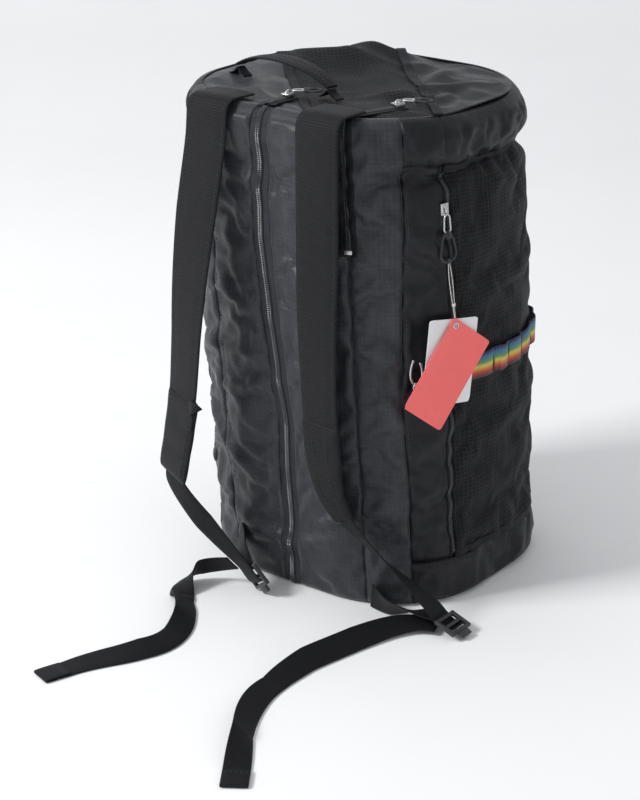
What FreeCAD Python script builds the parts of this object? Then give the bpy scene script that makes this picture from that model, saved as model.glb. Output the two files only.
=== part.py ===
"""Zipped duffel pack for rope, standing on its base, in millimetres.

The origin is the middle of the base on the ground, +Z is up and the back panel, which carries the
shoulder straps, faces -Y.  The filled pack leans a little, so every wall is a slice of one slanted
rounded prism.  Angles round the pack are measured from the middle of the back panel towards +X.
"""
import FreeCAD, Part
import math
import os

import Sketcher

V = FreeCAD.Vector

SIZES = {
    # the pack
    "pack_height": 500, "pack_width": 304, "pack_depth": 284, "corner_round": 110,
    "lean_x": -22, "lean_y": -16, "wall": 2, "base_thick": 2.4, "top_thick": 2,
    "board_thick": 5, "board_margin": 12, "fit_gap": 0.3,
    # seams: angles round the pack and heights
    "back_seam_angle": 30, "side_seam_angle": 48, "front_seam_angle": 146,
    "lower_band": 48, "rim_band": 45, "mesh_strip_width": 120, "mesh_strip_turn": 43.8,
    # zips
    "tape_half_angle": 4, "coil_width": 6, "coil_proud": 1.4, "quick_zip_length": 132,
    "tape_width": 16, "slider_length": 12, "slider_width": 9, "slider_thick": 5,
    "main_slider_x": 31, "main_slider_y": 113, "quick_slider_x": 76, "quick_slider_y": 81,
    # side pocket
    "pocket_near_angle": 66, "pocket_far_angle": 143, "pocket_thick": 1.6, "pocket_slider_height": 411,
    # webbing
    "strap_width": 50, "strap_thick": 3, "web_width": 25, "web_thick": 1.8,
    "left_strap_x": -86, "right_strap_x": 46, "strap_gap": 8, "adjuster_clear": 11,
    "sleeve_thick": 9, "sleeve_length": 82,
    "chain_width": 25, "chain_height": 245, "chain_near_angle": 84.6, "chain_step": 10.5,
    "chain_bulge": 6, "chain_loops": 5,
    "tail_clear": 0.2, "hem_length": 14,
    # buckles and small metal parts
    "lock_length": 24, "lock_width": 31, "lock_thick": 4, "lock_bar": 4,
    "hook_length": 30, "hook_width": 14, "hook_wire": 3, "hook_reach": 9, "hook_height": 255,
    "ring_length": 20, "ring_width": 9, "ring_wire": 2, "loop_length": 30,
    "top_ring_length": 14, "top_loop_length": 17,
    "white_width": 58, "white_length": 86, "white_tilt": -9, "white_aside": 0,
    "red_width": 54, "red_length": 100, "red_tilt": -40, "red_aside": 20,
    "card_thick": 0.6, "card_drop": 60, "card_out": 6, "card_hole_in": 6, "string_wire": 1.2,
    # haul handle
    "handle_span": 136, "handle_rise": 25, "handle_width": 8, "handle_thick": 3, "handle_turn": -10,
    "handle_tab": 3, "handle_x": -68, "handle_y": -70,
}

doc = FreeCAD.newDocument("duffel_pack")
sheet = doc.addObject("Spreadsheet::Sheet", "Sizes")
for row, (alias, number) in enumerate(SIZES.items(), start=1):
    sheet.set(f"A{row}", alias)
    sheet.set(f"B{row}", str(number))
    sheet.setAlias(f"B{row}", alias)
doc.recompute()

parts = []


def size(alias):
    """The number that the sheet holds under an alias."""
    return float(getattr(sheet, alias))


def bind(item, **expressions):
    """Bind properties to expressions, with S.name for a size and __ for a dot in the path."""
    for path, expression in expressions.items():
        item.setExpression(path.replace("__", "."), expression.replace("S.", "Sizes."))


def keep(item, label):
    """Count an object as a sub-part with its own label."""
    item.Label = label
    parts.append(item)
    return item


def solid(label, shape):
    """A sub-part whose shape is worked out from the sheet."""
    item = doc.addObject("Part::Feature", label)
    place = shape.Placement
    item.Shape = shape
    item.Placement = place
    return keep(item, label)


# ---------------------------------------------------------------- slanted walls

def outline(name, inset, bottom):
    """A rounded rectangle that lies inside the pack's plan by inset, at height bottom."""
    sketch = doc.addObject("Sketcher::SketchObject", name)
    half_x, half_y, bend = 140, 130, 100
    middles = [(half_x - bend, half_y - bend), (bend - half_x, half_y - bend),
               (bend - half_x, bend - half_y), (half_x - bend, bend - half_y)]
    for turn, (mid_x, mid_y) in enumerate(middles):
        circle = Part.Circle(V(mid_x, mid_y, 0), V(0, 0, 1), bend)
        start = turn * math.pi / 2
        sketch.addGeometry(Part.ArcOfCircle(circle, start, start + math.pi / 2), False)
    for turn in range(4):
        first = sketch.Geometry[turn].EndPoint
        second = sketch.Geometry[(turn + 1) % 4].StartPoint
        sketch.addGeometry(Part.LineSegment(first, second), False)
    for turn in range(4):
        sketch.addConstraint(Sketcher.Constraint("Tangent", turn, 2, 4 + turn, 1))
        sketch.addConstraint(Sketcher.Constraint("Tangent", 4 + turn, 2, (turn + 1) % 4, 1))
    for turn in range(3):
        sketch.addConstraint(Sketcher.Constraint("Equal", 0, turn + 1))
    for side, way in enumerate(("Horizontal", "Vertical", "Horizontal", "Vertical"), start=4):
        sketch.addConstraint(Sketcher.Constraint(way, side))
    sketch.addConstraint(Sketcher.Constraint("Symmetric", 0, 3, 2, 3, -1, 1))
    sizes = {"bend": ("Radius", (0, bend), f"S.corner_round - ({inset})"),
             "across": ("DistanceX", (1, 3, 0, 3, 2 * (half_x - bend)), "S.pack_width - 2 * S.corner_round"),
             "deep": ("DistanceY", (3, 3, 0, 3, 2 * (half_y - bend)), "S.pack_depth - 2 * S.corner_round")}
    for label, (kind, places, expression) in sizes.items():
        index = sketch.addConstraint(Sketcher.Constraint(kind, *places))
        sketch.renameConstraint(index, label)
        bind(sketch, **{f"Constraints__{label}": expression})
    bind(sketch, Placement__Base__x=f"S.lean_x * ({bottom}) / S.pack_height",
         Placement__Base__y=f"S.lean_y * ({bottom}) / S.pack_height", Placement__Base__z=bottom)
    return sketch


def prism(name, inset, bottom, top):
    """The pack's slanted prism, inset by a distance, between two heights."""
    body = doc.addObject("Part::Extrusion", name)
    body.Base = outline(f"{name}_outline", inset, bottom)
    body.DirMode = "Custom"
    body.Solid = True
    bind(body, Dir__x="S.lean_x", Dir__y="S.lean_y", Dir__z="S.pack_height",
         LengthFwd=f"(({top}) - ({bottom})) / S.pack_height * "
                   "sqrt(S.lean_x ^ 2 + S.lean_y ^ 2 + S.pack_height ^ 2)")
    return body


def sector(name, start, sweep, bottom, top):
    """A slanted slice of cake round the pack's middle, from the angle start over sweep."""
    slice_ = doc.addObject("Part::Cylinder", name)
    turn = f"({start} - 90) * 1 deg"
    bind(slice_, Radius="S.pack_width", Height=f"({top}) - ({bottom})", Angle=f"({sweep}) * 1 deg",
         FirstAngle=f"atan((S.lean_x * cos({turn}) + S.lean_y * sin({turn})) / S.pack_height)",
         SecondAngle=f"atan((S.lean_y * cos({turn}) - S.lean_x * sin({turn})) / S.pack_height)",
         Placement__Base__x=f"S.lean_x * ({bottom}) / S.pack_height",
         Placement__Base__y=f"S.lean_y * ({bottom}) / S.pack_height",
         Placement__Base__z=bottom, Placement__Rotation__Angle=turn)
    return slice_


def boolean(kind, name, base, tool):
    item = doc.addObject(f"Part::{kind}", name)
    item.Base, item.Tool = base, tool
    return item


def panel(label, start, end, bottom, top, outer="0", inner="S.wall"):
    """One sewn wall panel: a slice of the ring between two insets."""
    ring = boolean("Cut", f"{label}_ring", prism(f"{label}_outer", outer, bottom, top),
                   prism(f"{label}_inner", inner, bottom, top))
    piece = boolean("Common", f"{label}_slice", ring,
                    sector(f"{label}_sector", start, f"({end}) - ({start})", bottom, top))
    return keep(piece, label)


FLOOR = "S.base_thick"
UNDER_TOP = "S.pack_height - S.top_thick"
UNDER_RIM = "S.pack_height - S.rim_band"
BACK, SIDE, FRONT = "S.back_seam_angle", "S.side_seam_angle", "S.front_seam_angle"
TAPE = "S.tape_half_angle"
QUICK_FOOT = "S.pack_height - S.quick_zip_length"
POCKET_TAPE = "(S.pocket_near_angle - 2.5)"

keep(prism("base_prism", "0", "0", FLOOR), "base_panel")
board = prism("board_prism", "S.board_margin", f"{FLOOR} + S.fit_gap",
              f"{FLOOR} + S.fit_gap + S.board_thick")
keep(board, "base_stiffener")
panel("back_panel_left", f"-{BACK}", f"-{TAPE}", FLOOR, UNDER_TOP)
panel("back_panel_right", TAPE, BACK, FLOOR, UNDER_TOP)
panel("back_gusset_left", f"-{SIDE}", f"-{BACK}", FLOOR, UNDER_TOP)
panel("back_gusset_right", BACK, SIDE, FLOOR, UNDER_TOP)
panel("lower_band", SIDE, f"360 - {SIDE}", FLOOR, "S.lower_band")
panel("side_panel_right", SIDE, FRONT, "S.lower_band", UNDER_RIM)
panel("front_panel", FRONT, f"360 - {FRONT}", "S.lower_band", UNDER_RIM)
panel("side_panel_left", f"360 - {FRONT}", f"360 - {SIDE}", "S.lower_band", UNDER_RIM)
panel("rim_band", SIDE, f"360 - {SIDE}", UNDER_RIM, UNDER_TOP)

# the centre zip of the back panel: two tapes that meet under one coil
panel("main_zip_tape_left", f"-{TAPE}", "0", FLOOR, UNDER_TOP)
panel("main_zip_tape_right", "0", TAPE, FLOOR, UNDER_TOP)
panel("main_zip_coil", "-1.2", "1.2", f"{FLOOR} + 4", UNDER_TOP, "-S.coil_proud", "0")
# the quick-access zip lies over the right-hand back seam
panel("quick_zip_tape", f"{BACK} - 3", f"{BACK} + 3", QUICK_FOOT, UNDER_TOP, "-0.8", "0")
panel("quick_zip_coil", f"{BACK} - 1.1", f"{BACK} + 1.1", f"{QUICK_FOOT} + 3", UNDER_TOP,
      "-0.8 - S.coil_proud", "-0.8")
# the mesh pocket on the right-hand side, closed by an upright zip
panel("pocket_mesh", "S.pocket_near_angle", "S.pocket_far_angle", "S.lower_band", UNDER_RIM,
      "-S.pocket_thick", "0")
panel("pocket_zip_tape", POCKET_TAPE, "S.pocket_near_angle", "S.lower_band", UNDER_RIM, "-0.8", "0")
panel("pocket_zip_coil", f"{POCKET_TAPE} + 0.8", f"{POCKET_TAPE} + 2.0", "S.lower_band + 6",
      f"{UNDER_RIM} - 6", "-0.8 - S.coil_proud", "-0.8")


# ---------------------------------------------------------------- top

def top_piece(label, offset, width):
    """A strip of the top panel whose near edge lies offset across the mesh strip's direction."""
    strip = doc.addObject("Part::Box", f"{label}_box")
    reach = "1.5 * S.pack_width"
    turn = "(S.mesh_strip_turn - 90) * 1 deg"
    bind(strip, Length=f"2 * {reach}", Width=width, Height="2 * S.top_thick",
         Placement__Rotation__Angle=turn,
         Placement__Base__x=f"S.lean_x - {reach} * cos({turn}) - ({offset}) * sin({turn})",
         Placement__Base__y=f"S.lean_y - {reach} * sin({turn}) + ({offset}) * cos({turn})",
         Placement__Base__z=f"{UNDER_TOP} - S.top_thick / 2")
    disc = prism(f"{label}_disc", "0", UNDER_TOP, "S.pack_height")
    return keep(boolean("Common", f"{label}_piece", disc, strip), label)


top_piece("top_mesh_panel", "-S.mesh_strip_width / 2", "S.mesh_strip_width")
top_piece("top_panel_right", "S.mesh_strip_width / 2", "S.pack_width")
top_piece("top_panel_left", "-S.mesh_strip_width / 2 - S.pack_width", "S.pack_width")


# ---------------------------------------------------------------- plain helpers in the pack's frame

def lean(height):
    """How far the pack's middle has moved at a height."""
    share = height / size("pack_height")
    return V(size("lean_x") * share, size("lean_y") * share, height)


def wall_spot(angle):
    """Where the wall's plan is cut at an angle round the pack, and the way straight out of it there."""
    turn = math.radians(angle - 90)
    ray = V(math.cos(turn), math.sin(turn), 0)
    bend = size("corner_round")
    flat_x = size("pack_width") / 2 - bend
    flat_y = size("pack_depth") / 2 - bend
    low, high = 0.0, size("pack_width")
    for _ in range(50):
        middle = (low + high) / 2
        past = V(max(abs(ray.x * middle) - flat_x, 0), max(abs(ray.y * middle) - flat_y, 0), 0)
        low, high = (middle, high) if past.Length < bend else (low, middle)
    out = V(math.copysign(past.x, ray.x), math.copysign(past.y, ray.y), 0).normalize()
    return ray * low, out


def wall_point(angle, height, out=0.0):
    """The point out of the wall by a distance, at an angle round the pack and a height."""
    spot, way = wall_spot(angle)
    return lean(height) + spot + way * out


def wall_normal(angle):
    """The level direction straight out of the wall at an angle round the pack."""
    return wall_spot(angle)[1]


def frame(middle, along, across):
    """A placement whose X runs along, Y across and Z out of both."""
    first = V(along).normalize()
    third = first.cross(across).normalize()
    second = third.cross(first)
    turn = FreeCAD.Matrix(first.x, second.x, third.x, middle.x, first.y, second.y, third.y, middle.y,
                          first.z, second.z, third.z, middle.z, 0, 0, 0, 1)
    return FreeCAD.Placement(turn)


def block(length, width, thick, place=FreeCAD.Placement(), shift=V(0, 0, 0)):
    """A box about its own middle, moved by shift and then set in a placement."""
    shape = Part.makeBox(length, width, thick, V(-length / 2, -width / 2, -thick / 2) + shift)
    shape.Placement = place.multiply(shape.Placement)
    return shape


def route_wire(points):
    """Straight runs joined by tangent arcs, each arc as large as its two runs allow."""
    edges = []
    last = points[0]
    for before, corner, after in zip(points, points[1:], points[2:]):
        arrive, leave = corner - before, after - corner
        cut = 0.45 * min(arrive.Length, leave.Length)
        half_turn = arrive.getAngle(leave) / 2
        radius = cut / math.tan(half_turn)
        arrive.normalize()
        leave.normalize()
        start, end = corner - arrive * cut, corner + leave * cut
        middle = corner + (leave - arrive).normalize() * (radius / math.cos(half_turn) - radius)
        edges += [Part.LineSegment(last, start).toShape(), Part.Arc(start, middle, end).toShape()]
        last = end
    edges.append(Part.LineSegment(last, points[-1]).toShape())
    return Part.Wire(edges)


def ribbon(points, width, thick, across=None):
    """Flat webbing along a route; it lies level, or keeps its width along the direction across."""
    wire = route_wire(points)
    along = (points[1] - points[0]).normalize()
    side = V(across) if across else along.cross(V(0, 0, 1)).normalize()
    up = side.cross(along).normalize()
    corners = [points[0] + side * (width / 2 * a) + up * (thick / 2 * b)
               for a, b in ((-1, -1), (1, -1), (1, 1), (-1, 1), (-1, -1))]
    sweep = Part.BRepOffsetAPI.MakePipeShell(wire)
    sweep.setBiNormalMode(side if across else V(0, 0, 1))
    sweep.add(Part.makePolygon(corners), False, False)
    sweep.build()
    sweep.makeSolid()
    shape = sweep.shape()
    wanted = wire.Length * width * thick
    if abs(shape.Volume - wanted) > 0.1 * wanted:
        raise ValueError(f"ribbon volume {shape.Volume:.0f}, expected {wanted:.0f}")
    return shape


def slot_ring(length, width, wire, place):
    """A flat link with round ends, made of square wire."""
    def stadium(long_, wide):
        half = long_ / 2 - wide / 2
        edges = [Part.LineSegment(V(-half, -wide / 2, 0), V(half, -wide / 2, 0)),
                 Part.Arc(V(half, -wide / 2, 0), V(long_ / 2, 0, 0), V(half, wide / 2, 0)),
                 Part.LineSegment(V(half, wide / 2, 0), V(-half, wide / 2, 0)),
                 Part.Arc(V(-half, wide / 2, 0), V(-long_ / 2, 0, 0), V(-half, -wide / 2, 0))]
        face = Part.Face(Part.Wire([edge.toShape() for edge in edges]))
        return face.extrude(V(0, 0, wire))
    link = stadium(length, width).cut(stadium(length - 2 * wire, width - 2 * wire))
    link.translate(V(0, 0, -wire / 2))
    link.Placement = place.multiply(link.Placement)
    return link


# ---------------------------------------------------------------- zip ends, sliders and pullers

GAP = size("fit_gap")
TOP = size("pack_height")
HEAD = size("slider_thick")
COIL = size("coil_proud")
LEAN = lean(TOP).normalize()


def top_zip(label, start, end):
    """The end of a zip that runs over the top panel, tape and coil in one, and its straight frame."""
    along = end - start
    middle = (start + end) / 2 + V(0, 0, (0.8 + COIL) / 2)
    place = frame(middle, along, V(0, 0, 1).cross(along))
    tape = block(along.Length, size("tape_width"), 0.8, place, V(0, 0, -COIL / 2))
    coil = block(along.Length, size("coil_width"), COIL, place, V(0, 0, 0.4))
    solid(label, tape.fuse(coil).removeSplitter())


def slider(label, place):
    """The slider's box, just above the coil, with a bridge over its back for the puller."""
    length, width = size("slider_length"), size("slider_width")
    head = block(length, width, HEAD * 0.6, place, V(0, 0, GAP + HEAD * 0.3))
    bridge = block(length * 0.5, 2.4, HEAD * 0.4, place, V(0, 0, GAP + HEAD * 0.8))
    solid(label, head.fuse(bridge).removeSplitter())


def moved(place, x, y, z, turn=0.0):
    """A placement shifted in its own frame and turned about its own Z."""
    return place.multiply(FreeCAD.Placement(V(x, y, z), FreeCAD.Rotation(V(0, 0, 1), turn)))


def puller(label, place, ring, loop):
    """The ring that hangs from the slider's bridge and the dark cord loop that hangs from the ring."""
    reach = size("slider_length") * 0.25 + GAP
    lift = GAP + HEAD + 0.4
    wide, wire = size("ring_width"), size("ring_wire")
    solid(f"{label}_ring", slot_ring(ring, wide, wire, moved(place, reach + ring / 2, 0, lift)))
    solid(f"{label}_loop", slot_ring(loop, wide + 2, wire, moved(place, reach + ring + loop / 2, 0, lift)))


main_end = V(-size("main_slider_x"), -size("main_slider_y"), TOP)
main_start = V(main_end.x, lean(TOP).y - size("pack_depth") / 2 + 4, TOP)
top_zip("main_zip_end", main_start, main_end + V(0, size("slider_length") / 2, 0))
quick_end = V(size("quick_slider_x"), -size("quick_slider_y"), TOP)
quick_start = wall_point(size("back_seam_angle"), TOP, -10)
top_zip("quick_zip_end", quick_start, quick_end + (quick_end - quick_start).normalize() * 6)

over_coil = V(0, 0, 0.8 + COIL)
main_frame = frame(main_end + over_coil, main_end - main_start, V(-1, 0, 0))
quick_frame = frame(quick_end + over_coil, quick_end - quick_start,
                    V(0, 0, 1).cross(quick_end - quick_start))
pocket_angle = size("pocket_near_angle") - 1.1
pocket_height = size("pocket_slider_height")
pocket_out = wall_normal(pocket_angle)
pocket_frame = frame(wall_point(pocket_angle, pocket_height, 0.8 + COIL), -LEAN, LEAN.cross(pocket_out))
slider("main_slider", main_frame)
slider("quick_slider", quick_frame)
slider("pocket_slider", pocket_frame)

main_pull = frame(main_end + over_coil, V(0.82, 0.57, 0), V(-0.57, 0.82, 0))
quick_pull = frame(quick_end + over_coil, V(0.88, 0.48, 0), V(-0.48, 0.88, 0))
puller("main_puller", main_pull, size("top_ring_length"), size("top_loop_length"))
puller("quick_puller", quick_pull, size("top_ring_length"), size("top_loop_length"))
puller("pocket_puller", pocket_frame, size("ring_length"), size("loop_length"))


# ---------------------------------------------------------------- hang tags on the pocket's puller

def on_pocket(drop, aside, out):
    """A point below the pocket's slider, aside round the wall and out from the coil."""
    return pocket_frame.multVec(V(drop, aside, out))


pull_end = size("slider_length") * 0.25 + GAP + size("ring_length") + size("loop_length")
hang_out = GAP + HEAD + 0.4
eyelet_drop = pull_end + size("card_drop")
knot = on_pocket(pull_end + 1, 0, hang_out)
eyelet = on_pocket(eyelet_drop, 0, hang_out + size("card_out") - 1)
string_run = eyelet - knot
strand = Part.makeCylinder(size("string_wire") / 2, string_run.Length, knot, string_run)
solid("tag_string", strand)


def card(kind, out):
    """One tag card that hangs from the eyelet, tilted in its own plane."""
    place = moved(pocket_frame, eyelet_drop, 0, hang_out + out, size(f"{kind}_tilt"))
    length, width = size(f"{kind}_length"), size(f"{kind}_width")
    below = V(length / 2 - size("card_hole_in"), size(f"{kind}_aside"), 0)
    sheet_ = block(length, width, size("card_thick"), place, below)
    hole = Part.makeCylinder(2, 4, V(0, 0, -2))
    hole.Placement = place
    solid(f"tag_card_{kind}", sheet_.cut(hole))


card("white", size("card_out"))
card("red", size("card_out") + 2)
rivet = Part.makeCylinder(3.4, 0.6).cut(Part.makeCylinder(1.8, 0.6))
rivet.Placement = moved(pocket_frame, eyelet_drop, 0, hang_out + size("card_out") + 2.3)
solid("tag_eyelet", rivet)


# ---------------------------------------------------------------- daisy chain and snap hook

chain_height = size("chain_height")
tack_angles = [size("chain_near_angle") + turn * size("chain_step")
               for turn in range(int(size("chain_loops")) + 1)]
hook_angle = size("side_seam_angle") + 4
chain_knots = [hook_angle + 6] + tack_angles


def chain_curve(out):
    """One face of the chain seen from above: a free run from the hook, then a bow for each loop."""
    edges = []
    for run, (near, far) in enumerate(zip(chain_knots, chain_knots[1:])):
        bulge = size("chain_bulge") if run else 5
        first, last = (out + (4 if turn == 0 else 0) for turn in (run, run + 1))
        edges.append(Part.Arc(wall_point(near, 0, first), wall_point((near + far) / 2, 0, out + bulge),
                              wall_point(far, 0, last)).toShape())
    return edges


chain_inner = size("pocket_thick") + 4 * GAP
inner, outer = chain_curve(chain_inner), chain_curve(chain_inner + size("web_thick"))
ends = [Part.LineSegment(a.Vertexes[k].Point, b.Vertexes[k].Point).toShape()
        for a, b, k in ((inner[0], outer[0], 0), (inner[-1], outer[-1], 1))]
chain_face = Part.Face(Part.Wire(Part.__sortEdges__(inner + outer + ends)))
chain_face.translate(lean(chain_height) - V(0, 0, size("chain_width") / 2))
solid("daisy_chain", chain_face.extrude(V(0, 0, size("chain_width"))))

hook_out = wall_normal(hook_angle)
hook_frame = frame(wall_point(hook_angle, size("hook_height"), size("hook_reach")), LEAN,
                   LEAN.cross(hook_out))
wire = size("hook_wire")
link = slot_ring(size("hook_length"), size("hook_width"), wire, hook_frame)
gate_length = size("hook_length") * 0.4
gate_place = V(0, size("hook_width") / 2 - wire / 2, 0)
opening = block(gate_length + 2 * GAP, wire * 1.6, wire * 1.6, hook_frame, gate_place)
solid("snap_hook", link.cut(opening))
solid("hook_gate", block(gate_length, wire * 0.8, wire * 0.8, hook_frame, gate_place))
loop_foot = wall_point(hook_angle, size("hook_height") - size("hook_length") / 2 + wire, 1)
loop_frame = frame(loop_foot, hook_out, LEAN.cross(hook_out))
loop_out = size("hook_reach") - 1 - wire / 2 - 4 * GAP
solid("hook_loop", block(loop_out, 3, 14, loop_frame, V(loop_out / 2, 0, 0)))


# ---------------------------------------------------------------- shoulder straps

STRAP, THIN = size("strap_width"), size("strap_thick")
WEB, FLAT = size("web_width"), size("web_thick")


def upright(label, x, route, width, thick):
    """Webbing that faces the wearer: a route of (y, z) points in the plane x."""
    points = [V(x, y, z) for y, z in route]
    return solid(label, ribbon(points, width, thick, V(1, 0, 0)))


def shoulder(side, x, lift, drop, lock_place, anchor, adjuster_foot):
    """One shoulder strap, from its sewn root on the top to its ladder lock on the ground."""
    rim = lean(TOP).y - size("pack_depth") / 2
    level = TOP + THIN / 2 + lift
    out = rim - size("strap_gap")
    upright(f"{side}_strap_root", x, [(rim + 26, level), (out, level), (out - 2, TOP - 22)], STRAP, THIN)
    upright(f"{side}_strap", x, [(out - 3, TOP - 26), *drop], STRAP, THIN)
    (last_y, last_z), (before_y, before_z) = drop[-1], drop[-2]
    down = V(0, last_y - before_y, last_z - before_z).normalize()
    sleeve_mid = V(x, last_y, last_z) + down * (size("sleeve_length") / 2 + GAP)
    sleeve_frame = frame(sleeve_mid, down, V(1, 0, 0))
    solid(f"{side}_strap_sleeve",
          block(size("sleeve_length"), STRAP + 2, size("sleeve_thick"), sleeve_frame))
    sleeve_end = sleeve_mid + down * (size("sleeve_length") / 2 + size("adjuster_clear"))
    run = adjuster_foot - sleeve_end
    adjuster_frame = frame((sleeve_end + adjuster_foot) / 2, run, V(1, 0, 0))
    solid(f"{side}_adjuster_webbing", block(run.Length, WEB, FLAT, adjuster_frame))

    bar, length, wide, deep = size("lock_bar"), size("lock_length"), size("lock_width"), size("lock_thick")
    slot = (length - 3 * bar) / 2
    lock = block(length, wide, deep, lock_place)
    for way in (-1, 1):
        hole = block(slot, wide - 2 * bar, 2 * deep, lock_place, V(way * (slot + bar) / 2, 0, 0))
        lock = lock.cut(hole)
    tongue = block(bar * 1.5, wide * 0.5, deep * 0.6, lock_place, V(length / 2 + bar * 0.75, 0, 0))
    solid(f"{side}_ladder_lock", lock.fuse(tongue).removeSplitter())

    angle, out, clear, across = anchor
    seam = wall_point(angle, WEB * 0.55, out)
    near = lock_place.multVec(V(-length / 2 - clear, 0, 0))
    anchor_run = near - seam
    anchor_frame = frame((seam + near) / 2, anchor_run, across)
    solid(f"{side}_anchor_webbing", block(anchor_run.Length, WEB, FLAT, anchor_frame))


# each drop is the strap's (y, z) route; each anchor is its angle, way out, clearance and width direction
LEFT_DROP = [(-182, 420), (-192, 370), (-200, 310), (-205, 250), (-208, 206)]
RIGHT_DROP = [(-169, 420), (-168, 370), (-170, 310), (-170, 250), (-168, 195)]
LEFT_ANCHOR = (2 - size("back_seam_angle"), 6, 14, V(0, 0, 1))
RIGHT_ANCHOR = (size("back_seam_angle") + 4, 13, 3, V(0, -0.94, 0.35))
left_lock = frame(V(-22, -181, 19), V(0.62, 0.12, -0.72), V(0.8, -0.35, 0.45))
right_lock = frame(V(186, -134, 11), V(0.94, 0, -0.34), V(0, -1, 0))
shoulder("left", size("left_strap_x"), 3 * GAP, LEFT_DROP, left_lock, LEFT_ANCHOR, V(-36, -195, 43))
shoulder("right", size("right_strap_x"), 0.8 + COIL + GAP, RIGHT_DROP, right_lock, RIGHT_ANCHOR,
         V(168, -138, 31))


# ---------------------------------------------------------------- loose webbing tails on the ground

LOW = size("tail_clear") + FLAT / 2
TAILS = {
    "left": [V(-52, -182, 16), V(-72, -186, 10), V(-88, -199, 5), V(-88, -221, LOW), V(-70, -241, LOW),
             V(-46, -262, LOW), V(-27, -294, LOW), V(-20, -328, LOW), V(-33, -360, LOW), V(-52, -390, LOW),
             V(-66, -420, LOW), V(-76, -446, LOW)],
    "right": [V(158, -142, 4.5), V(146, -154, 4), V(135, -177, 2.5), V(126, -222, LOW), V(115, -275, LOW),
              V(110, -330, LOW), V(127, -380, LOW), V(155, -425, LOW), V(187, -473, LOW)],
}
for side, route in TAILS.items():
    solid(f"{side}_tail", ribbon(route, WEB, FLAT))
    way = (route[-1] - route[-2]).normalize()
    hem_frame = frame(route[-1] + way * (size("hem_length") / 2 + GAP) + V(0, 0, FLAT / 2), way,
                      V(0, 0, 1).cross(way))
    solid(f"{side}_tail_hem", block(size("hem_length"), WEB, 2 * FLAT, hem_frame))


# ---------------------------------------------------------------- haul handle

handle_way = V(math.cos(math.radians(size("handle_turn"))), math.sin(math.radians(size("handle_turn"))), 0)
handle_mid = V(size("handle_x"), size("handle_y"), TOP)
half_span, tab = size("handle_span") / 2, size("handle_tab")
handle_across = V(0, 0, 1).cross(handle_way)
for end, way in (("left", -1), ("right", 1)):
    tab_frame = frame(handle_mid + handle_way * (way * half_span) + V(0, 0, tab / 2), handle_way,
                      handle_across)
    solid(f"haul_handle_tab_{end}", block(16, size("handle_width"), tab, tab_frame))
pivot_height = tab + GAP + size("handle_thick") / 2 + size("handle_width") / 2
handle_feet = handle_mid + V(0, 0, pivot_height)
rise = size("handle_rise") - pivot_height
arch = [handle_feet + handle_way * (half_span * share) + V(0, 0, rise * lift)
        for share, lift in ((-1, 0), (-0.62, 0.8), (-0.2, 1.05), (0.2, 1.05), (0.62, 0.8), (1, 0))]
solid("haul_handle", ribbon(arch, size("handle_width"), size("handle_thick"), handle_across))


# ---------------------------------------------------------------- check and write

doc.recompute()
for item in doc.Objects:
    if {"Invalid", "Error"} & set(item.State):
        raise RuntimeError(f"{item.Label} failed: {item.State}")
for item in parts:
    if item.Shape.isNull() or not item.Shape.isValid() or item.Shape.Volume < 1:
        raise RuntimeError(f"{item.Label} has no valid solid")
os.makedirs("parts", exist_ok=True)
for item in parts:
    item.Shape.exportStep(os.path.join("parts", f"{item.Label}.step"))
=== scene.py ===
"""The looks of the zipped duffel pack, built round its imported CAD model, in metres."""

import math

import bmesh
import bpy
import numpy as np
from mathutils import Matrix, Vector, noise


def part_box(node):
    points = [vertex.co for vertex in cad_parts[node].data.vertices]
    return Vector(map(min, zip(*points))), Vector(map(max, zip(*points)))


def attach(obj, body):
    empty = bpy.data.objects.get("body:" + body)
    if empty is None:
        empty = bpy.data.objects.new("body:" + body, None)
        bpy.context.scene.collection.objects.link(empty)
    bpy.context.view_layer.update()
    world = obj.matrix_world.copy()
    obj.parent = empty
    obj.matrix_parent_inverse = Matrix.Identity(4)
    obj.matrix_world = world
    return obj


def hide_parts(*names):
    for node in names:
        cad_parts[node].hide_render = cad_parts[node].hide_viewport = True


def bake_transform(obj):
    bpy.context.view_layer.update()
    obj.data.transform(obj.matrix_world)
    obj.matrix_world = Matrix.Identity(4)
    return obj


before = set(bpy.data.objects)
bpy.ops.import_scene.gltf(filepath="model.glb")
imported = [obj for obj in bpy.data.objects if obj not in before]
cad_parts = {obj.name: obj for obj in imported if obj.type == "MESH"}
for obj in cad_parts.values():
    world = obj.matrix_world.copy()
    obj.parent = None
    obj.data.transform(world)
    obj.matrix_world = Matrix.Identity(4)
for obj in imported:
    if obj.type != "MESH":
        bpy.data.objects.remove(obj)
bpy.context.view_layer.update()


# ---------------------------------------------------------------- camera, light and floor

VIEW_TURN = math.radians(37)
VIEW_DROP = math.radians(21.6)
VIEW_AWAY, VIEW_ASIDE, VIEW_HEIGHT = 2.142, 0.062, 1.008


def make_camera():
    """The camera stands to the right of the back panel and looks down at the pack."""
    right = Vector((math.cos(VIEW_TURN), math.sin(VIEW_TURN), 0))
    back = Vector((math.sin(VIEW_TURN), -math.cos(VIEW_TURN), 0))
    place = back * VIEW_AWAY - right * VIEW_ASIDE + Vector((0, 0, VIEW_HEIGHT))
    look = -back * math.cos(VIEW_DROP) - Vector((0, 0, math.sin(VIEW_DROP)))
    data = bpy.data.cameras.new("camera")
    data.lens = 99
    data.clip_end = 50
    camera = bpy.data.objects.new("camera", data)
    camera.location = place
    camera.rotation_euler = look.to_track_quat("-Z", "Y").to_euler()
    bpy.context.scene.collection.objects.link(camera)
    bpy.context.scene.camera = camera


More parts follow.
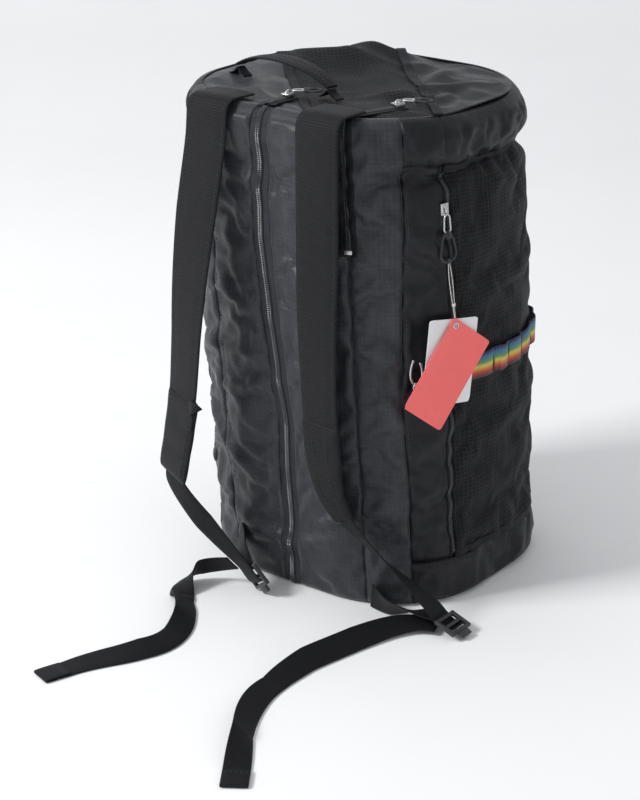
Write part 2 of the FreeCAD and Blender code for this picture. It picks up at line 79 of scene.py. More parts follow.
def area_light(name, place, target, size, power, tint=(1, 1, 1)):
    data = bpy.data.lights.new(name, "AREA")
    data.size = size
    data.energy = power
    data.color = tint
    lamp = bpy.data.objects.new(name, data)
    lamp.location = place
    lamp.rotation_euler = (Vector(target) - Vector(place)).to_track_quat("-Z", "Y").to_euler()
    bpy.context.scene.collection.objects.link(lamp)


def make_studio():
    """A pale floor that curves up into a backdrop, a big soft key from the left and a weak fill."""
    world = bpy.data.worlds.new("studio")
    world.use_nodes = True
    world.node_tree.nodes["Background"].inputs["Color"].default_value = (0.96, 0.97, 1.0, 1)
    world.node_tree.nodes["Background"].inputs["Strength"].default_value = 0.58
    bpy.context.scene.world = world
    bpy.context.scene.view_settings.view_transform = "Standard"
    area_light("key", (-1.5, -2.2, 2.1), (0, 0, 0.25), 0.8, 76)
    area_light("top", (-0.6, 0.4, 2.6), (0, 0, 0.3), 1.2, 5)
    area_light("fill", (2.4, -2.6, 1.4), (0, 0, 0.25), 2.0, 3)
    back = np.array([-math.sin(VIEW_TURN), math.cos(VIEW_TURN)])
    side = np.array([math.cos(VIEW_TURN), math.sin(VIEW_TURN)])
    rows = []
    for away, height in ((-4, 0), (1.6, 0), (2.2, 0.06), (2.7, 0.3), (3.0, 0.8), (3.1, 4)):
        rows.append([[*(side * across + back * away), height] for across in (-5, 5)])
    floor = sheet_mesh("floor", np.array(rows))
    floor.data.materials.append(plain_material("floor_paper", (0.945, 0.95, 0.955), 0.8))


# ---------------------------------------------------------------- mesh helpers

def add_object(name, points, faces, flat=None, smooth=True):
    """A mesh object from points and faces; flat gives one (u, v) for each point, in metres."""
    mesh = bpy.data.meshes.new(name)
    mesh.from_pydata([tuple(p) for p in points], [], [tuple(f) for f in faces])
    if flat is not None:
        layer = mesh.uv_layers.new(name="flat")
        index = np.zeros(len(mesh.loops), int)
        mesh.loops.foreach_get("vertex_index", index)
        layer.data.foreach_set("uv", np.asarray(flat, float)[index].ravel())
    mesh.polygons.foreach_set("use_smooth", [smooth] * len(mesh.polygons))
    mesh.update()
    item = bpy.data.objects.new(name, mesh)
    bpy.context.scene.collection.objects.link(item)
    return item


def grid_faces(rows, cols, start=0, wrap=False, flip=False):
    """Quads of a grid of points, row by row."""
    faces = []
    for row in range(rows - 1):
        for col in range(cols if wrap else cols - 1):
            a, b = start + row * cols + col, start + row * cols + (col + 1) % cols
            quad = (a, b, b + cols, a + cols)
            faces.append(quad[::-1] if flip else quad)
    return faces


def sheet_mesh(name, points, flat=None, thick=0.0, flip=False):
    """A sheet from a grid of points; with a thickness it is closed by a second skin and four edges."""
    rows, cols = points.shape[:2]
    flat = None if flat is None else flat.reshape(-1, 2)
    outer = points.reshape(-1, 3)
    faces = grid_faces(rows, cols, flip=flip)
    if not thick:
        return add_object(name, outer, faces, flat)
    normal = grid_normals(points) * (-1 if flip else 1)
    inner = (points - normal * thick).reshape(-1, 3)
    count = rows * cols
    faces += grid_faces(rows, cols, start=count, flip=not flip)
    rim = [col for col in range(cols)] + [row * cols + cols - 1 for row in range(1, rows)]
    rim += [count - 1 - col for col in range(1, cols)] + [row * cols for row in range(rows - 2, 0, -1)]
    for a, b in zip(rim, rim[1:] + rim[:1]):
        quad = (a, a + count, b + count, b)
        faces.append(quad[::-1] if flip else quad)
    both = None if flat is None else np.vstack([flat, flat])
    return add_object(name, np.vstack([outer, inner]), faces, both)


def grid_normals(points):
    """A unit normal at each point of a grid, out of the side where its quads turn to the left."""
    down = np.gradient(points, axis=0)
    along = np.gradient(points, axis=1)
    normal = np.cross(along, down)
    return normal / np.maximum(np.linalg.norm(normal, axis=2, keepdims=True), 1e-12)


def unit(v):
    v = np.asarray(v, float)
    return v / np.maximum(np.linalg.norm(v, axis=-1, keepdims=True), 1e-12)


def tangents(path):
    return unit(np.gradient(np.asarray(path, float), axis=0))


def carried(path, first):
    """A direction carried along a path without twist, square to it everywhere."""
    ahead = tangents(path)
    side = [unit(np.asarray(first, float) - ahead[0] * np.dot(first, ahead[0]))]
    for way in ahead[1:]:
        side.append(unit(side[-1] - way * np.dot(side[-1], way)))
    return np.array(side)


def arc_lengths(path):
    steps = np.linalg.norm(np.diff(path, axis=0), axis=1)
    return np.concatenate([[0], np.cumsum(steps)])


def smooth_path(points, count):
    """count points, evenly spaced, on the NURBS line that has these points as its control points."""
    curve = bpy.data.curves.new("route", "CURVE")
    curve.dimensions = "3D"
    curve.resolution_u = 24
    spline = curve.splines.new("NURBS")
    spline.points.add(len(points) - 1)
    for point, place in zip(spline.points, points):
        point.co = (*place, 1)
    spline.order_u = 3
    spline.use_endpoint_u = True
    item = bpy.data.objects.new("route", curve)
    bpy.context.scene.collection.objects.link(item)
    bpy.context.view_layer.update()
    line = bpy.data.meshes.new_from_object(item)
    found = np.array([v.co for v in line.vertices], float)
    bpy.data.objects.remove(item)
    bpy.data.curves.remove(curve)
    bpy.data.meshes.remove(line)
    return even_path(found, count)


def even_path(path, count):
    """The same path with evenly spaced points."""
    path = np.asarray(path, float)
    lengths = arc_lengths(path)
    wanted = np.linspace(0, lengths[-1], count)
    return np.stack([np.interp(wanted, lengths, path[:, axis]) for axis in range(3)], axis=1)


WEB_SECTION = np.array([(-0.5, 0), (-0.49, -0.35), (-0.46, -0.5), (-0.2, -0.5), (0.2, -0.5), (0.46, -0.5),
                        (0.49, -0.35), (0.5, 0), (0.49, 0.35), (0.46, 0.5), (0.2, 0.5), (-0.2, 0.5),
                        (-0.46, 0.5), (-0.49, 0.35)])


def web_mesh(name, path, across, width, thick, cup=0.0):
    """Flat webbing along a path; width, thick and across may change along it, cup curls it."""
    path, across = np.asarray(path, float), unit(across)
    count = len(path)
    width = np.broadcast_to(np.asarray(width, float), count)
    thick = np.broadcast_to(np.asarray(thick, float), count)
    cup = np.broadcast_to(np.asarray(cup, float), count)
    ahead = tangents(path)
    across = unit(across - ahead * np.sum(across * ahead, axis=1, keepdims=True))
    up = np.cross(across, ahead)
    lengths = arc_lengths(path)
    points, flat = [], []
    for i in range(count):
        for a, b in WEB_SECTION:
            lift = thick[i] * b + cup[i] * (4 * a * a - 1)
            points.append(path[i] + across[i] * (width[i] * a) + up[i] * lift)
            flat.append((width[i] * a, lengths[i]))
    sides = len(WEB_SECTION)
    faces = grid_faces(count, sides, wrap=True)
    faces += [tuple(range(sides))[::-1], tuple(range(sides * (count - 1), sides * count))]
    return add_object(name, points, faces, flat)


def tube_mesh(name, path, radius, sides=10, first=(0, 0, 1), closed=False, oval=1.0):
    """A round tube along a path, open with flat caps or closed into a ring."""
    path = np.asarray(path, float)
    if closed:
        ahead = unit(np.roll(path, -1, axis=0) - np.roll(path, 1, axis=0))
        side = [unit(np.asarray(first, float) - ahead[0] * np.dot(first, ahead[0]))]
        for way in ahead[1:]:
            side.append(unit(side[-1] - way * np.dot(side[-1], way)))
        side = np.array(side)
    else:
        ahead = tangents(path)
        side = carried(path, first)
    up = np.cross(ahead, side)
    radius = np.broadcast_to(np.asarray(radius, float), len(path))
    turn = np.linspace(0, 2 * math.pi, sides, endpoint=False)
    ring = (side[:, None] * (np.cos(turn) * oval)[None, :, None]
            + up[:, None] * np.sin(turn)[None, :, None])
    points = path[:, None] + ring * radius[:, None, None]
    lengths = arc_lengths(path)
    flat = np.stack(np.broadcast_arrays((turn * radius.max())[None, :], lengths[:, None]), axis=-1)
    rows = len(path)
    faces = grid_faces(rows, sides, wrap=True)
    if closed:
        last = (rows - 1) * sides
        faces += [(last + k, last + (k + 1) % sides, (k + 1) % sides, k) for k in range(sides)]
    else:
        faces += [tuple(range(sides))[::-1], tuple(range(sides * (rows - 1), sides * rows))]
    return add_object(name, points.reshape(-1, 3), faces, flat.reshape(-1, 2))


def join(name, items):
    """One object from several, with their materials."""
    for other in bpy.context.selected_objects:
        other.select_set(False)
    for item in items:
        item.select_set(True)
    bpy.context.view_layer.objects.active = items[0]
    bpy.ops.object.join()
    items[0].name = name
    items[0].data.name = name
    return items[0]


def finish_piece(item, body, material, slot, *nodes):
    """Give a piece its material, body and the CAD nodes that it stands for; slot is not used."""
    if material is not None:
        item.data.materials.clear()
        item.data.materials.append(material)
    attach(item, body)
    if nodes:
        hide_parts(*nodes)
    return item


def rumple(points, size, depth, seed=0.0, stretch=(1, 1, 1)):
    """Smooth noise for an array of points: features about size long and up to depth high."""
    flat = np.asarray(points, float).reshape(-1, 3) / size * np.asarray(stretch) + seed
    values = np.array([noise.noise(Vector(p)) for p in flat])
    return values.reshape(np.shape(points)[:-1]) * depth


def creases(points, size, depth, seed=0.0, stretch=(1, 1, 1)):
    """Sharp-topped folds: one minus the size of smooth noise."""
    flat = np.asarray(points, float).reshape(-1, 3) / size * np.asarray(stretch) + seed
    values = np.array([1 - 2.2 * abs(noise.noise(Vector(p))) for p in flat])
    return values.reshape(np.shape(points)[:-1]) * depth


# ---------------------------------------------------------------- materials

class Nodes:
    """A short way to write a material's nodes."""

    def __init__(self, name, color, roughness, **inputs):
        self.material = bpy.data.materials.new(name)
        self.material.use_nodes = True
        self.tree = self.material.node_tree
        self.shader = self.tree.nodes["Principled BSDF"]
        self.set("Base Color", (*color, 1))
        self.set("Roughness", roughness)
        for socket, value in inputs.items():
            self.set(socket.replace("_", " "), value)
        self.color = color

    def set(self, socket, value):
        self.shader.inputs[socket].default_value = value

    def node(self, kind, **settings):
        item = self.tree.nodes.new(f"ShaderNode{kind}")
        for key, value in settings.items():
            if hasattr(item, key):
                setattr(item, key, value)
            else:
                item.inputs[key.replace("_", " ")].default_value = value
        return item

    def link(self, out, into):
        self.tree.links.new(out, into)
        return out

    def place(self, flat=False, scale=(1, 1, 1), turn=0.0):
        """Positions in metres: on the cloth if flat, or in the object."""
        where = self.node("TexCoord").outputs["UV" if flat else "Object"]
        mapping = self.node("Mapping")
        mapping.inputs["Scale"].default_value = scale
        mapping.inputs["Rotation"].default_value = (0, 0, turn)
        self.link(where, mapping.inputs["Vector"])
        return mapping.outputs["Vector"]

    def noise(self, scale, detail=3.0, where=None, roughness=0.55, **settings):
        item = self.node("TexNoise", Scale=scale, Detail=detail, Roughness=roughness, **settings)
        self.link(where or self.place(), item.inputs["Vector"])
        return item.outputs["Fac"]

    def wave(self, pitch, where, direction="Y", distortion=0.0):
        """Bands that repeat every pitch metres."""
        item = self.node("TexWave", Scale=math.pi / (10 * pitch), Distortion=distortion,
                         bands_direction=direction)
        self.link(where, item.inputs["Vector"])
        return item.outputs["Fac"]

    def ramp(self, value, *stops):
        """A colour ramp with (place, grey or colour) stops."""
        item = self.node("ValToRGB")
        elements = item.color_ramp.elements
        while len(elements) < len(stops):
            elements.new(0.5)
        for element, (place, tone) in zip(elements, stops):
            element.position = place
            tone = (tone, tone, tone) if isinstance(tone, (int, float)) else tone
            element.color = (*tone, 1)
        self.link(value, item.inputs["Fac"])
        return item.outputs["Color"]

    def math(self, kind, a, b):
        item = self.node("Math", operation=kind)
        for socket, value in zip(item.inputs, (a, b)):
            if isinstance(value, (int, float)):
                socket.default_value = value
            else:
                self.link(value, socket)
        return item.outputs["Value"]

    def mix(self, factor, a, b, kind="MIX"):
        item = self.node("MixRGB", blend_type=kind)
        for socket, value in zip(item.inputs, (factor, a, b)):
            if isinstance(value, (int, float)):
                socket.default_value = value
            elif isinstance(value, tuple):
                socket.default_value = (*value, 1)
            else:
                self.link(value, socket)
        return item.outputs["Color"]

    def bump(self, *layers):
        """Bump layers of (height, distance in metres, strength), one on another."""
        below = None
        for height, distance, strength in layers:
            item = self.node("Bump", Distance=distance, Strength=strength)
            self.link(height, item.inputs["Height"])
            if below is not None:
                self.link(below, item.inputs["Normal"])
            below = item.outputs["Normal"]
        self.link(below, self.shader.inputs["Normal"])

    def tint(self, value, low, high):
        """Base colour that runs between two shades of the material's colour."""
        dark = tuple(c * low for c in self.color)
        light = tuple(c * high for c in self.color)
        self.link(self.ramp(value, (0.25, dark), (0.75, light)), self.shader.inputs["Base Color"])


def plain_material(name, color, roughness):
    made = Nodes(name, color, roughness)
    made.tint(made.noise(3.0), 0.985, 1.015)
    made.bump((made.noise(700.0), 0.0002, 0.15))
    return made.material


def nylon(name, color, roughness=0.5, sheen=0.12):
    """Thin ripstop nylon: a fine grid of thicker yarns, small creases and a soft sheen."""
    made = Nodes(name, color, roughness, Sheen_Weight=sheen, Sheen_Roughness=0.4, Specular_IOR_Level=0.30)
    cloth = made.place(flat=True)
    along = made.wave(0.0042, cloth, "X")
    up = made.wave(0.0042, cloth, "Y")
    yarns = made.math("MAXIMUM", made.ramp(along, (0.86, 0.0), (1.0, 1.0)),
                      made.ramp(up, (0.86, 0.0), (1.0, 1.0)))
    crinkle = made.noise(58.0, 5.0, roughness=0.6, noise_type="RIDGED_MULTIFRACTAL")
    fine = made.noise(240.0, 3.0)
    shade = made.mix(0.5, made.noise(22.0, 4.0), fine)
    made.tint(made.mix(0.16, shade, yarns), 0.66, 1.65)
    rough = made.ramp(made.noise(35.0, 3.0), (0.3, roughness - 0.08), (0.7, roughness + 0.1))
    made.link(rough, made.shader.inputs["Roughness"])
    made.bump((made.noise(26.0, 4.0), 0.004, 0.35), (crinkle, 0.0016, 0.32), (fine, 0.0004, 0.3),
              (yarns, 0.0002, 0.4))
    return made.material


def mesh_cloth(name, color, column=0.0042, bright=1.9):
    """Spacer mesh: columns of open cells in a knitted face, with painted shade in the open cells."""
    made = Nodes(name, color, 0.62, Sheen_Weight=0.02, Specular_IOR_Level=0.22)
    cloth = made.place(flat=True)
    cells = made.node("TexVoronoi", Scale=1 / column, Randomness=0.25, feature="DISTANCE_TO_EDGE")
    made.link(cloth, cells.inputs["Vector"])
    # painted shade: the open cells are darkened far below the knit, as the shade seen through them
    hole_shade = made.ramp(cells.outputs["Distance"], (0.04, 1.0), (0.22, 0.0))
    columns = made.wave(column * 2, cloth, "X")
    knit_and_hole_shade = made.math("MULTIPLY", hole_shade, made.math("ADD", 0.6, made.math("MULTIPLY", columns, 0.4)))
    made.tint(knit_and_hole_shade, 0.35, bright)
    made.bump((made.noise(20.0, 3.0), 0.004, 0.3), (knit_and_hole_shade, 0.0007, 0.8))
    return made.material


def webbing(name, color, rib=0.0021, bright=1.7):
    """Ribbed webbing: ribs across it and a herringbone of yarn."""
    made = Nodes(name, color, 0.58, Sheen_Weight=0.03, Sheen_Roughness=0.35, Specular_IOR_Level=0.20)
    cloth = made.place(flat=True)
    ribs = made.wave(rib, cloth, "Y")
    yarn = made.wave(0.0012, made.place(flat=True, turn=math.radians(35)), "X")
    face = made.math("ADD", made.math("MULTIPLY", ribs, 0.7), made.math("MULTIPLY", yarn, 0.3))
    made.tint(made.mix(0.45, face, made.noise(120.0, 4.0)), 0.6, bright)
    made.bump((made.noise(45.0, 3.0), 0.0015, 0.2), (face, 0.0005, 0.8))
    return made.material


def striped_webbing(name):
    """Webbing with woven stripes from dark blue at the top to dark red at the bottom."""
    made = Nodes(name, (0.2, 0.2, 0.2), 0.62, Sheen_Weight=0.2, Specular_IOR_Level=0.3)
    cloth = made.place(flat=True)
    split = made.node("SeparateXYZ")
    made.link(cloth, split.inputs["Vector"])
    share = made.math("ADD", made.math("DIVIDE", split.outputs["X"], 0.025), 0.5)
    item = made.node("ValToRGB")
    item.color_ramp.interpolation = "LINEAR"
    stripes = [(0.0, (0.012, 0.014, 0.03)), (0.10, (0.22, 0.012, 0.012)), (0.22, (0.50, 0.05, 0.022)),
               (0.33, (0.72, 0.25, 0.03)), (0.46, (0.76, 0.62, 0.11)), (0.60, (0.10, 0.30, 0.10)),
               (0.73, (0.03, 0.22, 0.24)), (0.85, (0.035, 0.13, 0.34)), (0.94, (0.012, 0.02, 0.07))]
    elements = item.color_ramp.elements
    while len(elements) < len(stripes):
        elements.new(0.5)
    for element, (place, color) in zip(elements, stripes):
        element.position = place
        element.color = (*color, 1)
    made.link(share, item.inputs["Fac"])
    ribs = made.wave(0.0018, cloth, "Y")
    made.link(made.mix(0.35, item.outputs["Color"], made.ramp(ribs, (0.2, 0.35), (0.8, 1.0)), "MULTIPLY"),
              made.shader.inputs["Base Color"])
    made.bump((ribs, 0.0004, 0.8))
    return made.material


def metal(name, color=(0.62, 0.62, 0.63), roughness=0.28):
    made = Nodes(name, color, roughness, Metallic=1.0)
    made.tint(made.noise(160.0, 4.0), 0.82, 1.12)
    rough = made.ramp(made.noise(420.0, 3.0), (0.3, roughness - 0.08), (0.7, roughness + 0.14))
    made.link(rough, made.shader.inputs["Roughness"])
    made.bump((made.noise(900.0, 2.0), 0.0001, 0.3))
    return made.material


def moulded(name, color, roughness=0.42):
    made = Nodes(name, color, roughness, Specular_IOR_Level=0.45)
    made.tint(made.noise(90.0, 3.0), 0.85, 1.2)
    made.bump((made.noise(1500.0, 2.0), 0.00008, 0.4))
    return made.material


def card_stock(name, color, roughness=0.45):
    made = Nodes(name, color, roughness, Specular_IOR_Level=0.4)
    made.tint(made.noise(60.0, 4.0), 0.96, 1.03)
    made.bump((made.noise(900.0, 3.0), 0.00005, 0.4))
    return made.material


def thread(name, color):
    made = Nodes(name, color, 0.55, Sheen_Weight=0.2)
    made.tint(made.noise(900.0, 2.0), 0.7, 1.3)
    twist = made.wave(0.0009, made.place(flat=True, turn=math.radians(30)), "Y")
    made.bump((twist, 0.0002, 0.7))
    return made.material


# ---------------------------------------------------------------- the pack's wall

BASE_LOW, BASE_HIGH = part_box("base_panel")
TOP_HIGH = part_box("top_mesh_panel")[1]
WIDTH, DEPTH, HEIGHT = BASE_HIGH.x - BASE_LOW.x, BASE_HIGH.y - BASE_LOW.y, TOP_HIGH.z
LEAN = np.array([-0.022, -0.016])
CORNER = 0.110
FLAT = np.array([WIDTH / 2 - CORNER, DEPTH / 2 - CORNER])
BACK_SEAM, SIDE_SEAM, FRONT_SEAM, TAPE_EDGE = 30.0, 48.0, 146.0, 4.0
POCKET_NEAR, POCKET_FAR = 66.0, 143.0
BAND_SEAM, RIM_SEAM, QUICK_FOOT = 0.048, 0.455, 0.368
BOTTOM_ROLL, TOP_ROLL = 0.009, 0.012
CELL = 0.006


def plan(angle):
    """Where the wall's plan is cut at angles round the pack, and the way out of it there."""
    turn = np.radians(np.asarray(angle, float) - 90)
    ray = np.stack([np.cos(turn), np.sin(turn)], axis=-1)
    way = np.abs(ray)
    reach_x = (FLAT[0] + CORNER) / np.maximum(way[..., 0], 1e-9)
    reach_y = (FLAT[1] + CORNER) / np.maximum(way[..., 1], 1e-9)
    middle = way @ FLAT
    corner = middle + np.sqrt(np.maximum(middle ** 2 - FLAT @ FLAT + CORNER ** 2, 0))
    reach = np.where(reach_x * way[..., 1] <= FLAT[1], reach_x,
                     np.where(reach_y * way[..., 0] <= FLAT[0], reach_y, corner))
    spot = ray * reach[..., None]
    past = np.maximum(np.abs(spot) - FLAT, 0) * np.sign(spot)
    return spot, unit(past)


def hill(value, middle, width):
    return np.exp(-((value - middle) / width) ** 2)


def around(angle, middle, width):
    """A hill round the pack, where 359 and 1 are neighbours."""
    gap = (np.asarray(angle) - middle + 180) % 360 - 180
    return np.exp(-(gap / width) ** 2)


# folds that the filled pack shows: angle, height, half length, half width, slope, how proud
FOLDS = (
    (38, 0.448, 0.035, 0.010, 0.5, 0.004), (41, 0.412, 0.045, 0.009, -0.6, 0.0035),
    (36, 0.335, 0.040, 0.010, 0.35, 0.003), (42, 0.270, 0.045, 0.010, -0.4, 0.003),
    (37, 0.190, 0.035, 0.009, 0.6, 0.003), (40, 0.110, 0.050, 0.010, 0.3, 0.0035),
    (20, 0.180, 0.030, 0.007, 0.8, 0.003), (24, 0.150, 0.030, 0.006, 0.7, 0.003),
    (26, 0.095, 0.030, 0.007, 0.5, 0.003), (-14, 0.430, 0.035, 0.009, -0.5, 0.003),
    (-18, 0.300, 0.045, 0.010, -0.3, 0.0025), (-12, 0.215, 0.040, 0.009, 0.35, 0.0025),
    (-20, 0.120, 0.040, 0.010, -0.5, 0.003), (-13, 0.055, 0.045, 0.010, -0.25, 0.004),
    (12, 0.060, 0.040, 0.009, 0.35, 0.003), (-38, 0.240, 0.030, 0.010, 0.9, 0.004),
    (-36, 0.150, 0.030, 0.010, -0.9, 0.004), (95, 0.425, 0.045, 0.010, -0.25, 0.004),
    (112, 0.405, 0.030, 0.011, 0.4, -0.005), (118, 0.330, 0.050, 0.013, 0.2, 0.003),
    (88, 0.310, 0.055, 0.013, -0.3, 0.003), (100, 0.180, 0.060, 0.013, 0.25, 0.003),
    (80, 0.120, 0.050, 0.012, -0.4, 0.003), (125, 0.110, 0.045, 0.012, 0.5, 0.003),
    (55, 0.380, 0.030, 0.010, -0.8, 0.003), (58, 0.180, 0.030, 0.010, 0.8, 0.003),
    (170, 0.350, 0.060, 0.013, 0.3, 0.004), (195, 0.200, 0.060, 0.013, -0.3, 0.004),
    (235, 0.390, 0.060, 0.013, -0.4, 0.004), (250, 0.160, 0.060, 0.013, 0.35, 0.004),
    (285, 0.300, 0.060, 0.013, 0.2, 0.004), (300, 0.110, 0.050, 0.012, -0.5, 0.004),
)


def swell(angle, height):
    """How far the filled cloth stands out of the CAD wall, before its small creases."""
    side = 1 - around(angle, 0, 45)
    out = -0.0085 * hill(height, 0.441, 0.010) * side - 0.002 * hill(height, 0.441, 0.012)
    out += 0.0035 * hill(height, 0.474, 0.014) + 0.002 * hill(height, 0.27, 0.11)
    out -= 0.0045 * hill(height, 0.088, 0.032) * around(angle, 120, 55)
    out -= 0.0038 * around(angle, 114, 26) * hill(height, 0.29, 0.16)
    out += 0.0025 * around(angle, 15, 9) + 0.0025 * around(angle, -17, 10)
    for turn, level, long_, wide, slope, proud in FOLDS:
        across = ((np.asarray(angle) - turn + 180) % 360 - 180) * math.radians(1) * 0.145
        up = height - level
        scale = math.hypot(1, slope)
        on, off = (across + up * slope) / scale, (up - across * slope) / scale
        out += 1.3 * proud * np.exp(-(on / long_) ** 2 - (off / wide) ** 2)
    return out


def wall(angle, height, out=0.0):
    """Points on the wall at angles round the pack and heights, moved out of it."""
    angle, height = np.broadcast_arrays(np.asarray(angle, float), np.asarray(height, float))
    spot, way = plan(angle)
    flat = spot + way * np.asarray(out)[..., None] + LEAN * (height / HEIGHT)[..., None]
    return np.concatenate([flat, height[..., None]], axis=-1)


def way_out(angle):
    way = plan(angle)[1]
    return np.concatenate([way, np.zeros(way.shape[:-1] + (1,))], axis=-1)


def between(low, high, length, cell):
    """Evenly spaced values from low up to high, without high, about a cell apart over a length."""
    return list(np.linspace(low, high, max(2, round(length / cell)) + 1)[:-1])


def columns():
    """The angles of the wall's columns; every seam has one of its own."""
    keys = [-180, -FRONT_SEAM, -SIDE_SEAM, -BACK_SEAM, -TAPE_EDGE, 0, TAPE_EDGE, BACK_SEAM, SIDE_SEAM,
            POCKET_NEAR, POCKET_FAR, FRONT_SEAM, 180]
    angles = []
    for low, high in zip(keys, keys[1:]):
        steps = plan(np.linspace(low, high, 30))[0]
        angles += between(low, high, arc_lengths(steps)[-1], CELL)
    return np.array(angles + [180.0])


def levels():
    """(height, inset) of the wall's rows, with a rolled edge at the foot and at the rim."""
    rows = []
    for turn in np.radians([0, 30, 60]):
        rows.append((BOTTOM_ROLL * (1 - math.cos(turn)), BOTTOM_ROLL * (1 - math.sin(turn))))
    keys = [BOTTOM_ROLL, BAND_SEAM, QUICK_FOOT, RIM_SEAM, HEIGHT - TOP_ROLL]
    for low, high in zip(keys, keys[1:]):
        rows += [(height, 0.0) for height in between(low, high, high - low, CELL)]
    for turn in np.radians([0, 22.5, 45, 67.5, 90]):
        rows.append((HEIGHT - TOP_ROLL * (1 - math.sin(turn)), TOP_ROLL * (1 - math.cos(turn))))
    return np.array(rows)


# how the centre zip and the seams wander from their straight lines: (height, degrees)
WANDER = {0: ((0, -2.2), (0.04, -1.2), (0.08, 0), (0.13, -0.6), (0.18, 0.6), (0.21, -0.8), (0.31, -4.2),
              (0.37, -6.4), (0.44, -5.2), (0.5, -2.8)),
          32: ((0, 2), (0.5, 1.6)),
          67: ((0, 0), (0.13, -1.4), (0.19, -0.8), (0.32, 1.8), (0.41, 2.2), (0.5, 0)),
          50: ((0, 0), (0.13, 0.5), (0.22, -1), (0.33, 1), (0.42, 2.6), (0.5, 3.6)),
          -31: ((0, 1), (0.1, -1), (0.25, -2), (0.5, -1))}


def wander(angle, height):
    """The angles after the seams' wandering, which fades out between one seam and the next."""
    moved = np.array(angle, float)
    for seam, places in WANDER.items():
        heights, turns = zip(*places)
        reach = 13 if seam == 0 else 9
        moved += np.interp(height, heights, turns) * around(angle, seam, reach)
    return moved


def seam_rows(rows, angles):
    """Heights of every point: the rim seam hangs lower at the middle of the right-hand side."""
    height = np.repeat(rows[:, :1], len(angles), axis=1)
    dip = 0.012 * around(angles, 100, 35)[None, :] * hill(height, RIM_SEAM, 0.05)
    return height - dip


def rest_wall():
    angles, rows = columns(), levels()
    height = seam_rows(rows, angles)
    turned = wander(np.repeat(angles[None, :], len(rows), axis=0), height)
    out = swell(turned, height) * np.minimum(1, (height / 0.03)) - rows[:, 1:]
    return angles, rows, height, turned, wall(turned, height, out)


def held_points(angles, rows):
    """1 at seams, zips and edges, which keep the cloth in place, and 0 between them."""
    held = np.zeros((len(rows), len(angles)))
    for seam in (-FRONT_SEAM, -SIDE_SEAM, -BACK_SEAM, BACK_SEAM, SIDE_SEAM, POCKET_NEAR, FRONT_SEAM):
        held[:, np.abs(angles - seam) < 1e-6] = 1
    held[:, np.abs(angles) <= TAPE_EDGE + 1e-6] = 1
    off_back = np.abs(angles) >= SIDE_SEAM
    for level in (BAND_SEAM, RIM_SEAM):
        held[np.ix_(np.abs(rows[:, 0] - level) < 1e-6, off_back)] = 1
    held[rows[:, 1] > 1e-6] = 1
    held[:, [0, -1]] = 1
    return held


def crumple(points, held, frames=22, loose=0.035, pressure=1.2, cap=0.007):
    """Cloth that is a little too big for its seams, blown out and let go, as the slack cloth of a pack."""
    rows, cols = points.shape[:2]
    start = (points + grid_normals(points) * rumple(points, 0.02, 0.0012, seed=7.0)[..., None]
             * (held < 1)[..., None])
    item = sheet_mesh("crumple", start)
    group = item.vertex_groups.new(name="held")
    group.add([int(i) for i in np.flatnonzero(held.ravel())], 1.0, "ADD")
    cloth = item.modifiers.new("cloth", "CLOTH")
    settings = cloth.settings
    settings.quality = 6
    settings.mass = 0.12
    settings.tension_stiffness = settings.compression_stiffness = 25
    settings.shear_stiffness = 12
    settings.bending_stiffness = 0.08
    settings.tension_damping = settings.compression_damping = settings.shear_damping = 12
    settings.bending_damping = 1.0
    settings.air_damping = 3
    settings.vertex_group_mass = "held"
    settings.pin_stiffness = 5
    settings.shrink_min = -loose
    settings.use_pressure = True
    settings.uniform_pressure_force = pressure
    settings.effector_weights.gravity = 0.15
    cloth.collision_settings.use_collision = False
    scene = bpy.context.scene
    scene.frame_start, scene.frame_end = 1, frames
    cloth.point_cache.frame_start, cloth.point_cache.frame_end = 1, frames
    for step in range(1, frames + 1):
        scene.frame_set(step)
    found = item.evaluated_get(bpy.context.evaluated_depsgraph_get()).to_mesh()
    moved = np.array([v.co for v in found.vertices], float).reshape(rows, cols, 3)
    scene.frame_set(1)
    bpy.data.objects.remove(item)
    shift = moved - points
    length = np.linalg.norm(shift, axis=2, keepdims=True)
    shift *= np.minimum(1, cap * np.tanh(length / cap) / np.maximum(length, 1e-9))
    return points + shift


def refine(points):
    """Twice as many cells each way, on a smooth surface through the same points."""
    for axis in (0, 1):
        a = np.moveaxis(points, axis, 0)
        padded = np.concatenate([a[:1] * 2 - a[1:2], a, a[-1:] * 2 - a[-2:-1]])
        middle = (9 * (padded[1:-2] + padded[2:-1]) - padded[:-3] - padded[3:]) / 16
        made = np.empty((2 * len(a) - 1,) + a.shape[1:])
        made[::2], made[1::2] = a, middle
        points = np.moveaxis(made, 0, axis)
    return points


def arcs_of(angles):
    """Distance along the wall's plan from its middle at the back, for angles in rising order."""
    fine = np.linspace(-180, 180, 1441)
    lengths = arc_lengths(plan(fine)[0])
    return np.interp(angles, fine, lengths - lengths[720])


